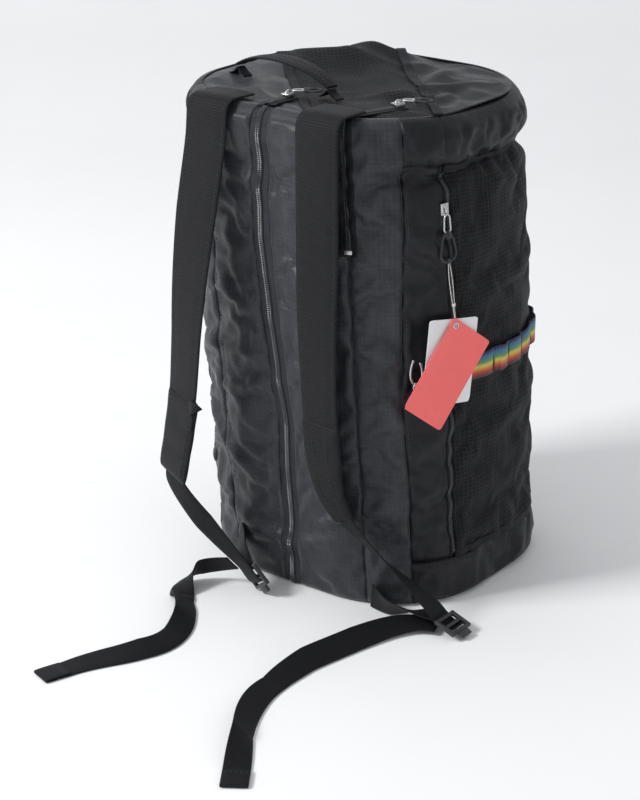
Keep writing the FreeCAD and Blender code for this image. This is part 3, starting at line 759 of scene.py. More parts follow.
class Wall:
    """The finished cloth wall, which gives points on it by angle and height."""

    def __init__(self):
        angles, rows, _, _, points = rest_wall()
        held = held_points(angles, rows)
        points = crumple(points, held)
        self.points = refine(points)
        self.angles = np.interp(np.arange(2 * len(angles) - 1) / 2, np.arange(len(angles)), angles)
        self.heights = np.interp(np.arange(2 * len(rows) - 1) / 2, np.arange(len(rows)), rows[:, 0])
        self.arcs = arcs_of(self.angles)
        self.normals = grid_normals(self.points)
        self.points = self.points + self.normals * self.detail()[..., None]
        self.normals = grid_normals(self.points)

    def detail(self):
        """Small folds, puckers beside the seams and a groove along each seam."""
        at = self.points
        soft = (np.clip((self.heights - 0.004) / 0.02, 0, 1)
                * np.clip((HEIGHT - 0.004 - self.heights) / 0.012, 0, 1))
        out = rumple(at, 0.030, 0.0016, 3.0) + creases(at, 0.055, 0.0018, 11.0, (1, 1, 1.5)) - 0.0004
        out += creases(at, 0.022, 0.0006, 23.0)
        near = np.zeros(out.shape)
        for seam in (-FRONT_SEAM, -SIDE_SEAM, -BACK_SEAM, BACK_SEAM, SIDE_SEAM, POCKET_NEAR, FRONT_SEAM):
            gap = self.arcs - arcs_of([seam])[0]
            near = np.maximum(near, np.exp(-(gap / 0.012) ** 2)[None, :])
            out -= 0.0016 * np.exp(-(gap / 0.0028) ** 2)[None, :]
        for level in (BAND_SEAM, RIM_SEAM):
            gap = self.heights - level
            off_back = (np.abs(self.angles) > SIDE_SEAM)[None, :]
            near = np.maximum(near, np.exp(-(gap / 0.012) ** 2)[:, None] * off_back)
            out -= 0.0018 * np.exp(-(gap / 0.0028) ** 2)[:, None] * off_back
        pucker = rumple(at, 0.009, 0.0012, 31.0, (1, 1, 1))
        out += near * pucker
        tape = np.exp(-((self.arcs) / 0.012) ** 4)[None, :]
        return (out * (1 - 0.8 * tape)) * soft[:, None]

    def sample(self, grid, angle, height):
        angle = (np.asarray(angle, float) + 180) % 360 - 180
        angle, height = np.broadcast_arrays(angle, np.asarray(height, float))
        col = np.interp(angle, self.angles, np.arange(len(self.angles)))
        row = np.interp(height, self.heights, np.arange(len(self.heights)))
        c = np.minimum(col.astype(int), len(self.angles) - 2)
        r = np.minimum(row.astype(int), len(self.heights) - 2)
        u, v = (col - c)[..., None], (row - r)[..., None]
        return ((grid[r, c] * (1 - u) + grid[r, c + 1] * u) * (1 - v)
                + (grid[r + 1, c] * (1 - u) + grid[r + 1, c + 1] * u) * v)

    def at(self, angle, height, out=0.0):
        """Points on the cloth, moved out of it."""
        return (self.sample(self.points, angle, height)
                + self.normal(angle, height) * np.asarray(out)[..., None])

    def normal(self, angle, height):
        return unit(self.sample(self.normals, angle, height))

    def layer(self, name, angles, heights, out=0.0, thick=0.0011):
        """A sheet that lies on the wall over a grid of angles and heights."""
        angles, heights = np.asarray(angles, float), np.asarray(heights, float)
        points = self.at(angles[None, :], heights[:, None], out)
        steps = np.linalg.norm(np.diff(points[len(heights) // 2], axis=0), axis=1)
        span = np.concatenate([[0], np.cumsum(steps)])
        middle = (angles[0] + angles[-1]) / 2
        start = arcs_of([middle if middle < 180 else middle - 360])[0] - span[-1] / 2
        flat = np.stack(np.broadcast_arrays((span + start)[None, :], heights[:, None]), axis=-1)
        return sheet_mesh(name, points, flat, thick)

    def panel(self, name, start, end, low, high):
        """A sewn panel between two seams and two heights, with the wall's own grid."""
        turned = np.where(self.angles < start - 1e-6, self.angles + 360, self.angles)
        angles = np.unique(np.round(turned[(turned >= start - 1e-6) & (turned <= end + 1e-6)], 6))
        heights = self.heights[(self.heights >= low - 1e-6) & (self.heights <= high + 1e-6)]
        return self.layer(name, angles, heights)


def stitches(name, path, normals, length=0.0030, gap=0.0016, width=0.0006, proud=0.00035):
    """A row of short sewn stitches that lie on a surface along a path."""
    lengths = arc_lengths(path)
    count = max(1, int(lengths[-1] / (length + gap)))
    points, faces = [], []
    for index in range(count):
        first = index * (length + gap)
        places = [np.array([np.interp(first + step, lengths, path[:, axis]) for axis in range(3)])
                  for step in (0, length / 2, length)]
        out = unit([np.interp(first + length / 2, lengths, normals[:, axis]) for axis in range(3)])
        side = unit(np.cross(out, places[2] - places[0])) * width / 2
        start = len(points)
        for place, lift in zip(places, (0.1, 1.0, 0.1)):
            points += [place - side - out * 0.0002, place + out * proud * lift, place + side - out * 0.0002]
        for row in (0, 3):
            a = start + row
            faces += [(a, a + 3, a + 4, a + 1), (a + 1, a + 4, a + 5, a + 2), (a, a + 2, a + 5, a + 3)]
        faces += [(start, start + 1, start + 2), (start + 6, start + 8, start + 7)]
    return add_object(name, points, faces, [(0, 0)] * len(points))


def coil_mesh(name, path, normals, width, proud, pitch=0.0021):
    """A zip's coil: a low rounded ridge, cut across by its teeth, with a groove along its middle."""
    path_length = arc_lengths(path)[-1]
    count = int(path_length / pitch) * 3
    lengths = arc_lengths(path)
    wanted = np.linspace(0, path_length, count)
    line = np.stack([np.interp(wanted, lengths, path[:, axis]) for axis in range(3)], axis=1)
    out = unit(np.stack([np.interp(wanted, lengths, normals[:, axis]) for axis in range(3)], axis=1))
    side = unit(np.cross(out, tangents(line)))
    profile = [(-0.5, -0.15), (-0.47, 0.45), (-0.3, 0.95), (-0.1, 0.9), (0, 0.62), (0.1, 0.9), (0.3, 0.95),
               (0.47, 0.45), (0.5, -0.15)]
    points, flat = [], []
    for index in range(count):
        tooth = (1.0, 0.78, 0.45)[index % 3]
        for a, b in profile:
            lift = proud * b * (tooth if b > 0.3 else 1.0)
            points.append(line[index] + side[index] * (width * a) + out[index] * lift)
            flat.append((width * a, wanted[index]))
    faces = grid_faces(count, len(profile))
    return add_object(name, points, [face[::-1] for face in faces], flat, smooth=False)


class Place:
    """A frame with X along, Y across and Z out of both."""

    def __init__(self, middle, along, across):
        self.middle = np.asarray(middle, float)
        self.x = unit(along)
        self.z = unit(np.cross(self.x, across))
        self.y = np.cross(self.z, self.x)

    def at(self, x, y=0.0, z=0.0):
        x, y, z = np.broadcast_arrays(np.asarray(x, float), np.asarray(y, float), np.asarray(z, float))
        return self.middle + x[..., None] * self.x + y[..., None] * self.y + z[..., None] * self.z

    def moved(self, x, y=0.0, z=0.0, turn=0.0):
        turn = math.radians(turn)
        return Place(self.at(x, y, z), self.x * math.cos(turn) + self.y * math.sin(turn),
                     self.y * math.cos(turn) - self.x * math.sin(turn))


def bevelled(name, place, size, shift=(0, 0, 0), round_=0.0006, taper=1.0):
    """A block with rounded edges; taper narrows its far end."""
    made = bmesh.new()
    bmesh.ops.create_cube(made, size=1.0)
    bmesh.ops.subdivide_edges(made, edges=made.edges, cuts=1, use_grid_fill=True)
    for vertex in made.verts:
        x, y, z = (c * s for c, s in zip(vertex.co, size))
        narrow = 1 + (taper - 1) * (vertex.co.x + 0.5)
        vertex.co = (x + shift[0], y * narrow + shift[1], z + shift[2])
    sharp = [edge for edge in made.edges if len(edge.link_faces) == 2 and edge.calc_face_angle() > 0.5]
    bmesh.ops.bevel(made, geom=sharp, offset=round_, segments=2, affect="EDGES", profile=0.6)
    mesh = bpy.data.meshes.new(name)
    made.to_mesh(mesh)
    made.free()
    for vertex in mesh.vertices:
        vertex.co = place.at(*vertex.co)
    mesh.polygons.foreach_set("use_smooth", [True] * len(mesh.polygons))
    mesh.update()
    item = bpy.data.objects.new(name, mesh)
    bpy.context.scene.collection.objects.link(item)
    return item


def stadium(place, length, width, count=40, pinch=0.0):
    """Points round a link that is length long and width wide; pinch narrows its near end."""
    turn = np.linspace(0, 2 * math.pi, count, endpoint=False)
    straight = (length - width) / 2
    x = np.cos(turn) * width / 2 + np.sign(np.round(np.cos(turn), 9)) * straight
    y = np.sin(turn) * width / 2
    share = (x + length / 2) / length
    return place.at(x, y * (1 - pinch * (1 - share)), 0)


# ---------------------------------------------------------------- shell

# the same black ripstop twice: the first copy is its colour; the second, about four times darker and with
# less sheen, is painted shade for the sides, front, bands, base and the top's right half
CLOTH_BACK = nylon("back_cloth", (0.027, 0.029, 0.035), 0.46, 0.10)
CLOTH_PAINTED_SHADE = nylon("cloth_painted_shade", (0.0065, 0.0070, 0.0098), 0.46, 0.02)
MESH = mesh_cloth("mesh_cloth", (0.0028, 0.0031, 0.0036), bright=4.2)
WEB_BLACK = webbing("webbing_black", (0.0052, 0.0055, 0.0070))
WEB_STRIPED = striped_webbing("webbing_striped")
TAPE_CLOTH = webbing("zip_tape_cloth", (0.0080, 0.0085, 0.0105), rib=0.0012)
TAPE_BACK = webbing("back_tape_cloth", (0.022, 0.024, 0.029), rib=0.0012)
COIL = moulded("zip_coil_nylon", (0.030, 0.032, 0.038), 0.30)
CORD_BLACK = thread("cord_black", (0.015, 0.016, 0.019))
ZINC = metal("zinc")
LOCK_GREY = moulded("lock_nylon", (0.028, 0.029, 0.032), 0.36)
STITCH = thread("stitch_thread", (0.012, 0.013, 0.016))
STRING_WHITE = thread("string_white", (0.78, 0.77, 0.73))
CARD_WHITE = card_stock("card_white", (0.82, 0.83, 0.84))
CARD_CORAL = card_stock("card_coral", (0.98, 0.165, 0.160))
BOARD = plain_material("board", (0.12, 0.12, 0.12), 0.8)


def piece(item, material, slot, *nodes, body="pack"):
    return finish_piece(item, body, material, slot, *nodes)


def make_shell(wall_):
    """The sewn panels of the wall and the base, and the base stiffener's board material."""
    panels = (("back_panel_left", -BACK_SEAM, -TAPE_EDGE, 0, HEIGHT),
              ("back_panel_right", TAPE_EDGE, BACK_SEAM, 0, HEIGHT),
              ("back_gusset_left", -SIDE_SEAM, -BACK_SEAM, 0, HEIGHT),
              ("back_gusset_right", BACK_SEAM, SIDE_SEAM, 0, HEIGHT),
              ("lower_band", SIDE_SEAM, 360 - SIDE_SEAM, 0, BAND_SEAM),
              ("side_panel_right", SIDE_SEAM, FRONT_SEAM, BAND_SEAM, RIM_SEAM),
              ("front_panel", FRONT_SEAM, 360 - FRONT_SEAM, BAND_SEAM, RIM_SEAM),
              ("side_panel_left", 360 - FRONT_SEAM, 360 - SIDE_SEAM, BAND_SEAM, RIM_SEAM),
              ("rim_band", SIDE_SEAM, 360 - SIDE_SEAM, RIM_SEAM, HEIGHT))
    for node, start, end, low, high in panels:
        item = wall_.panel(f"cloth_{node}", start, end, low, high)
        back = "back" in node
        # the back panels and gussets take the ripstop's colour, the other panels its darker copy with
        # painted shade
        piece(item, CLOTH_BACK if back else CLOTH_PAINTED_SHADE, "back_fabric" if back else "side_fabric", node)
    turns = np.linspace(-180, 180, 121)
    rings = np.linspace(0, 0.96, 14)
    spot, way = plan(turns)
    edge = spot - way * (BOTTOM_ROLL - 0.001)
    points = np.zeros((len(rings), len(turns), 3))
    points[..., :2] = edge[None] * (1 - rings[:, None, None])
    points[..., 2] = 0.0016
    flat = points[..., :2].copy()
    base = sheet_mesh("cloth_base", points, flat, 0.0012, flip=True)
    # the base takes the darker copy of the ripstop, painted shade
    piece(base, CLOTH_PAINTED_SHADE, "side_fabric", "base_panel")
    bpy.data.objects["base_stiffener"].data.materials.clear()
    bpy.data.objects["base_stiffener"].data.materials.append(BOARD)


STRIP_WAY = np.array([math.cos(math.radians(-46.2)), math.sin(math.radians(-46.2))])
STRIP_SIDE = np.array([-STRIP_WAY[1], STRIP_WAY[0]])
STRIP_HALF = 0.060
# folds of the slack top: middle, direction, half length, half width, height
TOP_FOLDS = (
    ((0.085, 0.030), 62, 0.040, 0.010, 0.0075), ((0.060, -0.020), 30, 0.030, 0.010, 0.0050),
    ((0.055, 0.060), 95, 0.035, 0.012, 0.0060), ((0.105, -0.010), 80, 0.030, 0.009, 0.0060),
    ((-0.020, 0.070), -46, 0.060, 0.018, 0.0075), ((0.005, 0.095), -30, 0.040, 0.014, 0.0060),
    ((-0.066, 0.068), 43.8, 0.055, 0.032, 0.0130), ((-0.080, 0.060), 20, 0.035, 0.012, 0.0050),
    ((-0.045, 0.100), 5, 0.035, 0.010, 0.0055),
)


def inside_plan(spot, inset):
    """Whether places in the plan lie further in than an inset."""
    past = np.maximum(np.abs(spot) - FLAT, 0)
    return np.linalg.norm(past, axis=-1) < CORNER - inset


def reach(start, way, inset):
    """How far it is from a start inside the plan to its inset edge."""
    low, high = np.zeros(len(start)), np.full(len(start), 0.35)
    for _ in range(40):
        middle = (low + high) / 2
        within = inside_plan(start + way * middle[:, None], inset)
        low, high = np.where(within, middle, low), np.where(within, high, middle)
    return low


def top_height(spot):
    """The slack top cloth: a shallow dish with folds, level near the rim."""
    past = np.linalg.norm(spot, axis=-1)
    deep = 0.0035 * np.clip(1 - (past / 0.13) ** 2, 0, 1)
    points = np.concatenate([spot, np.zeros(spot.shape[:-1] + (1,))], axis=-1)
    folds = rumple(points, 0.045, 0.0034, 41.0) + creases(points, 0.060, 0.0038, 47.0, (1, 1.6, 1))
    level = HEIGHT - 0.0020 - deep + folds * np.clip(past / 0.10, 0.4, 1) - 0.0012
    for (x, y), turn, long_, wide, proud in TOP_FOLDS:
        way = np.array([math.cos(math.radians(turn)), math.sin(math.radians(turn))])
        on = (spot - (x, y)) @ way
        off = (spot - (x, y)) @ np.array([-way[1], way[0]])
        level = level + proud * np.exp(-(on / long_) ** 2 - (off / wide) ** 2)
    return level


def top_piece(name, low, high, rows, cols):
    """A piece of the top between two offsets across the mesh strip, cut to the rim."""
    offsets = np.linspace(low, high, rows)
    start = STRIP_SIDE[None, :] * offsets[:, None]
    ahead, behind = reach(start, STRIP_WAY, 0.008), reach(start, -STRIP_WAY, 0.008)
    share = np.linspace(0, 1, cols)
    along = -behind[:, None] * (1 - share) + ahead[:, None] * share
    spot = start[:, None] + STRIP_WAY * along[..., None]
    rim = np.minimum(ahead[:, None] - along, behind[:, None] + along)
    points = np.concatenate([spot + LEAN, top_height(spot)[..., None]], axis=-1)
    ease = np.clip(rim / 0.020, 0, 1)
    ease = ease * ease * (3 - 2 * ease)
    points[..., 2] = (HEIGHT - 0.0022) * (1 - ease) + points[..., 2] * ease
    flat = np.stack(np.broadcast_arrays(along, offsets[:, None]), axis=-1)
    return points, sheet_mesh(name, points, flat, 0.0011, flip=False)


def make_top():
    last = reach(np.zeros((1, 2)), STRIP_SIDE, 0.009)[0]
    inner = STRIP_HALF
    strip, item = top_piece("cloth_top_mesh", -inner, inner, 34, 80)
    piece(item, MESH, "mesh", "top_mesh_panel")
    item = top_piece("cloth_top_right", inner, last, 34, 70)[1]
    # the top's right half takes the darker copy of the ripstop, painted shade; its left half below takes
    # the ripstop's colour
    piece(item, CLOTH_PAINTED_SHADE, "side_fabric", "top_panel_right")
    last = reach(np.zeros((1, 2)), -STRIP_SIDE, 0.009)[0]
    item = top_piece("cloth_top_left", -last, -inner, 34, 70)[1]
    piece(item, CLOTH_BACK, "back_fabric", "top_panel_left")
    up = np.array([0, 0, 1.0])
    for label, row, way in (("left", 0, 1), ("right", -1, -1)):
        line = strip[row] + up * 0.0014
        across = np.repeat([np.append(STRIP_SIDE, 0)], len(line), axis=0)
        band = web_mesh(f"top_binding_{label}", line, across * way, 0.009, 0.0016)
        piece(band, TAPE_CLOTH, "zip_tape")
        edge = line + across * (way * 0.0030) + up * 0.0008
        rows = stitches(f"top_stitches_{label}", edge, np.repeat([up], len(edge), axis=0))
        piece(rows, STITCH, "webbing")


def seam_stitches(wall_):
    """Stitch rows beside the seams."""
    levels_ = np.linspace(0.010, HEIGHT - 0.014, 160)
    side_levels = np.linspace(BAND_SEAM + 0.004, RIM_SEAM - 0.004, 140)
    uprights = (("zip_left_a", -TAPE_EDGE - 0.4, levels_), ("zip_left_b", -TAPE_EDGE - 3.4, levels_),
                ("zip_right", TAPE_EDGE + 0.5, levels_), ("back_right", BACK_SEAM - 4.4, levels_),
                ("back_left", -BACK_SEAM + 1.4, levels_), ("gusset_left", -SIDE_SEAM - 1.4, side_levels),
                ("gusset_right", SIDE_SEAM + 1.3, side_levels),
                ("pocket_far", POCKET_FAR + 1.2, side_levels),
                ("front_right", FRONT_SEAM + 1.4, side_levels),
                ("front_left", -FRONT_SEAM + 1.4, side_levels))
    for name, angle, heights in uprights:
        line = wall_.at(np.full(len(heights), angle), heights, 0.0001)
        piece(stitches(f"stitch_{name}", line, wall_.normal(angle, heights)), STITCH, "webbing")
    turns = np.linspace(SIDE_SEAM, 360 - SIDE_SEAM, 420)
    for name, level in (("rim_upper", RIM_SEAM + 0.0045), ("band_lower", BAND_SEAM - 0.0042)):
        line = wall_.at(turns, level, 0.0001)
        piece(stitches(f"stitch_{name}", line, wall_.normal(turns, level)), STITCH, "webbing")
    turns = np.linspace(0, 360, 520)
    line = wall_.at(turns, HEIGHT - 0.0018, 0.0001)
    piece(stitches("stitch_top_rim", line, wall_.normal(turns, HEIGHT - 0.0018)), STITCH, "webbing")


def make_pocket(wall_):
    """The mesh pocket, bound at its far edge, top and bottom."""
    turns, heights = np.linspace(POCKET_NEAR, POCKET_FAR, 96), np.linspace(BAND_SEAM, RIM_SEAM, 130)
    item = wall_.layer("pocket_cloth", turns, heights, 0.0016, 0.0014)
    piece(item, MESH, "mesh", "pocket_mesh")
    for name, level in (("upper", RIM_SEAM - 0.002), ("lower", BAND_SEAM + 0.003)):
        line = wall_.at(turns, level, 0.0020)
        up = np.repeat([(0, 0, 1.0)], len(line), axis=0)
        piece(web_mesh(f"pocket_binding_{name}", line, up, 0.008, 0.0014), TAPE_CLOTH, "zip_tape")
    line = wall_.at(np.full(130, POCKET_FAR), heights, 0.0020)
    across = np.cross(wall_.normal(POCKET_FAR, heights), (0, 0, 1.0))
    piece(web_mesh("pocket_binding_far", line, across, 0.008, 0.0014), TAPE_CLOTH, "zip_tape")


# ---------------------------------------------------------------- zips

def rest_spot(angle, height, out=0.0):
    """A point on the CAD wall, which the rigid parts are placed by."""
    return wall(angle, height, out)


MAIN_END = np.array([-0.031, -0.113, HEIGHT])
QUICK_END = np.array([0.076, -0.081, HEIGHT])
QUICK_START = rest_spot(BACK_SEAM, HEIGHT, -0.010)
POCKET_COIL = 64.9
OVER_COIL = 0.0022
UP = np.array([0, 0, 1.0])
LEAN_WAY = unit(np.array([LEAN[0], LEAN[1], HEIGHT]))


def make_zips(wall_):
    heights = np.linspace(0.003, HEIGHT - 0.0005, 200)
    line = wall_.at(np.zeros(200), heights)
    for label, start, end in (("left", -TAPE_EDGE, 0), ("right", 0, TAPE_EDGE)):
        turns = np.linspace(start, end, 7)
        item = wall_.layer(f"main_tape_{label}", turns, heights, -0.0003, 0.0009)
        piece(item, TAPE_BACK, "zip_tape", f"main_zip_tape_{label}")
    item = coil_mesh("main_coil", line, wall_.normal(0, heights), 0.0062, 0.0019)
    piece(item, COIL, "zip_coil", "main_zip_coil")

    # the centre zip goes on over the top to its slider
    top_line = np.array([line[-1] + (0, 0.001, 0.0004), (-0.034, -0.140, HEIGHT - 0.0003),
                         (-0.0315, -0.126, HEIGHT), MAIN_END + (0, 0.006, 0)])
    top_line = smooth_path([tuple(p) for p in top_line], 30)
    over = np.repeat([UP], 30, axis=0)
    coil = coil_mesh("main_end_coil", top_line + UP * 0.0008, over, 0.0062, 0.0018)
    tape = web_mesh("main_end_tape", top_line, np.cross(over, tangents(top_line)), 0.017, 0.0016)
    coil.data.materials.append(COIL)
    tape.data.materials.append(TAPE_CLOTH)
    piece(join("main_end", [tape, coil]), None, "zip_tape", "main_zip_end")

    quick = np.linspace(QUICK_FOOT, HEIGHT - 0.0005, 60)
    item = wall_.layer("quick_tape", np.linspace(BACK_SEAM - 3, BACK_SEAM + 3, 9), quick, 0.0008, 0.0009)
    piece(item, TAPE_CLOTH, "zip_tape", "quick_zip_tape")
    line = wall_.at(np.full(60, BACK_SEAM), quick, 0.0009)
    item = coil_mesh("quick_coil", line, wall_.normal(BACK_SEAM, quick), 0.0058, 0.0018)
    piece(item, COIL, "zip_coil", "quick_zip_coil")
    ahead = unit(QUICK_END - QUICK_START)
    top_line = np.array([line[-1], QUICK_START + ahead * 0.006, QUICK_START + ahead * 0.02,
                         QUICK_END + ahead * 0.006])
    top_line = smooth_path([tuple(p) for p in top_line], 40)
    over = np.repeat([UP], 40, axis=0)
    coil = coil_mesh("quick_end_coil", top_line + UP * 0.0008, over, 0.0058, 0.0017)
    tape = web_mesh("quick_end_tape", top_line, np.cross(over, tangents(top_line)), 0.017, 0.0016)
    coil.data.materials.append(COIL)
    tape.data.materials.append(TAPE_CLOTH)
    piece(join("quick_end", [tape, coil]), None, "zip_tape", "quick_zip_end")
    stop = Place(wall_.at(BACK_SEAM, QUICK_FOOT + 0.004, 0.0018), wall_.normal(BACK_SEAM, QUICK_FOOT), UP)
    piece(bevelled("quick_stop", stop, (0.0030, 0.0042, 0.0080), round_=0.0007), ZINC, "zinc")

    pocket = np.linspace(BAND_SEAM, RIM_SEAM, 130)
    turns = np.linspace(POCKET_NEAR - 2.5, POCKET_NEAR, 6)
    item = wall_.layer("pocket_tape", turns, pocket, 0.0008, 0.0009)
    piece(item, TAPE_CLOTH, "zip_tape", "pocket_zip_tape")
    coil_heights = np.linspace(BAND_SEAM + 0.006, RIM_SEAM - 0.006, 130)
    line = wall_.at(np.full(130, POCKET_COIL), coil_heights, 0.0009)
    item = coil_mesh("pocket_coil", line, wall_.normal(POCKET_COIL, coil_heights), 0.0046, 0.0016)
    piece(item, COIL, "zip_coil", "pocket_zip_coil")


def slider(label, place):
    """A slider: a shield-shaped body with two flanges, and a bridge for the puller."""
    body = bevelled(f"{label}_body", place, (0.012, 0.0088, 0.0020), (0, 0, 0.0022), 0.0008, taper=0.72)
    left = bevelled(f"{label}_left", place, (0.0105, 0.0012, 0.0034), (0, 0.0038, 0.0012), 0.0004)
    right = bevelled(f"{label}_right", place, (0.0105, 0.0012, 0.0034), (0, -0.0038, 0.0012), 0.0004)
    turn = np.linspace(0, math.pi, 14)
    arch = place.at(-np.cos(turn) * 0.0034, 0, 0.0028 + np.sin(turn) * 0.0024)
    bridge = tube_mesh(f"{label}_bridge", arch, 0.0010, 10, place.y, oval=1.3)
    item = join(f"{label}_piece", [body, left, right, bridge])
    piece(item, ZINC, "zinc", label, body=label)


def puller(label, place, ring, loop):
    """A wire ring that hangs in the slider's bridge, with a loop of cord knotted on it."""
    near, lift = 0.0033, 0.0057
    ring_line = stadium(place.moved(near + ring / 2, 0, lift), ring - 0.0020, 0.0080, 48, 0.25)
    item = tube_mesh(f"{label}_wire", ring_line, 0.0009, 10, place.z, closed=True)
    piece(item, ZINC, "zinc", f"{label}_ring", body=label)
    loop_line = stadium(place.moved(near + ring + loop / 2 - 0.002, 0, lift), loop, loop * 0.72, 56, 0.55)
    cord = tube_mesh(f"{label}_cord_line", loop_line, 0.00115, 10, place.z, closed=True)
    turn = np.linspace(0, 2 * math.pi * 2.4, 60)
    wrap = place.moved(near + ring + 0.0010, 0, lift)
    knot = tube_mesh(f"{label}_knot", wrap.at(np.linspace(-0.0022, 0.0028, 60), np.cos(turn) * 0.0030,
                                              np.sin(turn) * 0.0017), 0.0011, 8, place.z)
    end_line = wrap.at(np.linspace(loop - 0.0060, loop - 0.0020, 8), 0, 0)
    end = tube_mesh(f"{label}_end", end_line, 0.0019, 12, place.z)
    piece(join(f"{label}_cord", [cord, knot, end]), CORD_BLACK, "cord", f"{label}_loop", body=label)


POCKET_SLIDER = Place(rest_spot(POCKET_COIL, 0.411, OVER_COIL), -LEAN_WAY,
                      np.cross(LEAN_WAY, way_out(np.array(POCKET_COIL))))


def make_sliders():
    lift = UP * OVER_COIL
    slider("main_slider", Place(MAIN_END + lift, (0, 1, 0), (-1, 0, 0)))
    ahead = QUICK_END - QUICK_START
    slider("quick_slider", Place(QUICK_END + lift, ahead, np.cross(UP, ahead)))
    slider("pocket_slider", POCKET_SLIDER)
    puller("main_puller", Place(MAIN_END + lift, (0.82, 0.57, 0), (-0.57, 0.82, 0)), 0.014, 0.017)
    puller("quick_puller", Place(QUICK_END + lift, (0.88, 0.48, 0), (-0.48, 0.88, 0)), 0.014, 0.017)
    puller("pocket_puller", POCKET_SLIDER, 0.020, 0.030)


# ---------------------------------------------------------------- hang tags

def card_mesh(name, place, length, width, back, aside=0.0, thick=0.0006, bend=0.0):
    """A card with rounded corners and a hole near its top edge, aside from its middle, a little curled."""
    count = 240
    turn = np.linspace(0, 2 * math.pi, count, endpoint=False)
    corner = 0.0022
    middle = length / 2 - back
    ray = np.stack([np.cos(turn), np.sin(turn)], axis=1)
    outer = []
    for x, y in ray:
        to_x = ((middle + length / 2) if x > 0 else (length / 2 - middle)) / max(abs(x), 1e-9)
        to_y = (width / 2 + math.copysign(aside, y)) / max(abs(y), 1e-9)
        far = min(to_x, to_y)
        px, py = x * far, y * far
        edge_x = min(abs(px - (middle + length / 2)), abs(px + length / 2 - middle))
        edge_y = width / 2 - abs(py - aside)
        pull = max(0, corner - math.hypot(edge_x, edge_y)) * 0.4
        outer.append((px - math.copysign(pull, x), py - math.copysign(pull, y)))
    outer, hole = np.array(outer), ray * 0.0021
    rings = 12
    points = []
    for side in (0, 1):
        for ring in range(rings):
            share = (ring / (rings - 1)) ** 1.5
            spot = hole * (1 - share) + outer * share
            curl = (bend * ((spot[:, 1] - aside) / (width / 2)) ** 2
                    + bend * 0.7 * (spot[:, 0] / length) ** 2)
            points.append(place.at(spot[:, 0], spot[:, 1], curl - thick * side))
    points = np.array(points).reshape(-1, 3)
    faces = grid_faces(rings, count, wrap=True)
    faces += grid_faces(rings, count, start=rings * count, wrap=True, flip=True)
    shift = rings * count
    for row, turned in ((0, True), (rings - 1, False)):
        for k in range(count):
            a, b = row * count + k, row * count + (k + 1) % count
            quad = (a, b, b + shift, a + shift)
            faces.append(quad[::-1] if turned is False else quad)
    flat = np.zeros((len(points), 2))
    return add_object(name, points, [face[::-1] for face in faces], flat, smooth=False)


def make_tags():
    pull_end, drop, out = 0.012 * 0.25 + 0.0003 + 0.020 + 0.030, 0.060, 0.0057
    eyelet = POCKET_SLIDER.moved(pull_end + drop, 0, out)
    for name, tilt, away, length, width, aside, material, slot, bend in (
            ("tag_card_white", -9, 0.006, 0.086, 0.058, 0.0, CARD_WHITE, "white_card", -0.0012),
            ("tag_card_red", -40, 0.008, 0.100, 0.054, 0.020, CARD_CORAL, "coral_card", 0.0012)):
        place = eyelet.moved(0, 0, away, tilt)
        item = card_mesh(f"{name}_stock", place, length, width, 0.006, aside, bend=bend)
        piece(item, material, slot, name, body="hang_tag")
    rim = eyelet.moved(0, 0, 0.0087)
    turn = np.linspace(0, 2 * math.pi, 28, endpoint=False)
    ring_line = rim.at(np.cos(turn) * 0.0027, np.sin(turn) * 0.0027, 0)
    ring = tube_mesh("tag_eyelet_ring", ring_line, 0.0008, 8, rim.z, closed=True)
    piece(ring, ZINC, "zinc", "tag_eyelet", body="hang_tag")
    knot = POCKET_SLIDER.moved(pull_end - 0.002, 0, out)
    strands = []
    for way in (-1, 1):
        share = np.linspace(0, 1, 24)
        x = share * (drop + 0.004)
        y = way * (0.0006 + 0.0016 * np.sin(math.pi * np.clip(share * 1.35, 0, 1)) * (1 - share * 0.6))
        z = 0.0005 + share * 0.0082
        strands.append(tube_mesh(f"strand_{way}", knot.at(x, y, z), 0.00034, 8, knot.z))
    turn = np.linspace(0, 2 * math.pi * 2, 40)
    strands.append(tube_mesh("string_knot", knot.at(0.0405 + turn * 0.00022, np.cos(turn) * 0.0013,
                                                    0.0062 + np.sin(turn) * 0.0013), 0.0006, 8, knot.z))
    piece(join("tag_string_strands", strands), STRING_WHITE, "white_string", "tag_string", body="hang_tag")


# ---------------------------------------------------------------- daisy chain and hook

TACKS = [84.6 + 10.5 * k for k in range(6)]
HOOK_ANGLE, HOOK_HEIGHT = SIDE_SEAM + 4, 0.255
CHAIN_HEIGHT = 0.2455


def make_chain(wall_):
    """The striped webbing: bar-tacked at intervals, so that it stands out between the tacks."""
    knots = [HOOK_ANGLE + 6.5] + TACKS
    turns, outs = [], []
    for run, (near, far) in enumerate(zip(knots, knots[1:])):
        share = np.linspace(0, 1, 22 if run == 0 else 16)[:-1]
        first = 0.0060 if run == 0 else 0.0028
        base = first * (1 - share) + 0.0028 * share
        peak = 0.0008 if run == 0 else 0.0028 + 0.0006 * math.sin(run * 2.3)
        bulge = peak * np.sin(math.pi * share) ** 0.7
        turns += list(near + (far - near) * share)
        outs += list(base + bulge)
    turns, outs = np.array(turns + [knots[-1]]), np.array(outs + [0.0028])
    level = CHAIN_HEIGHT - 0.0035 * np.clip((84 - turns) / 26, 0, 1)
    line = wall_.at(turns, level, outs)
    up = np.repeat([UP], len(line), axis=0)
    piece(web_mesh("chain_web", line, up, 0.0262, 0.0017), WEB_STRIPED, "rainbow_webbing", "daisy_chain")
    tacks = []
    for index, turn in enumerate(TACKS):
        for shift in (-0.35, 0.35):
            rise = np.linspace(-0.0108, 0.0108, 40)
            zigzag = turn + shift + 0.14 * (np.arange(40) % 2 * 2 - 1)
            tack_line = wall_.at(zigzag, CHAIN_HEIGHT + rise, 0.0040)
            tacks.append(tube_mesh(f"tack_{index}_{shift}", tack_line, 0.00042, 6, UP))
    piece(join("chain_tacks", tacks), CORD_BLACK, "webbing")


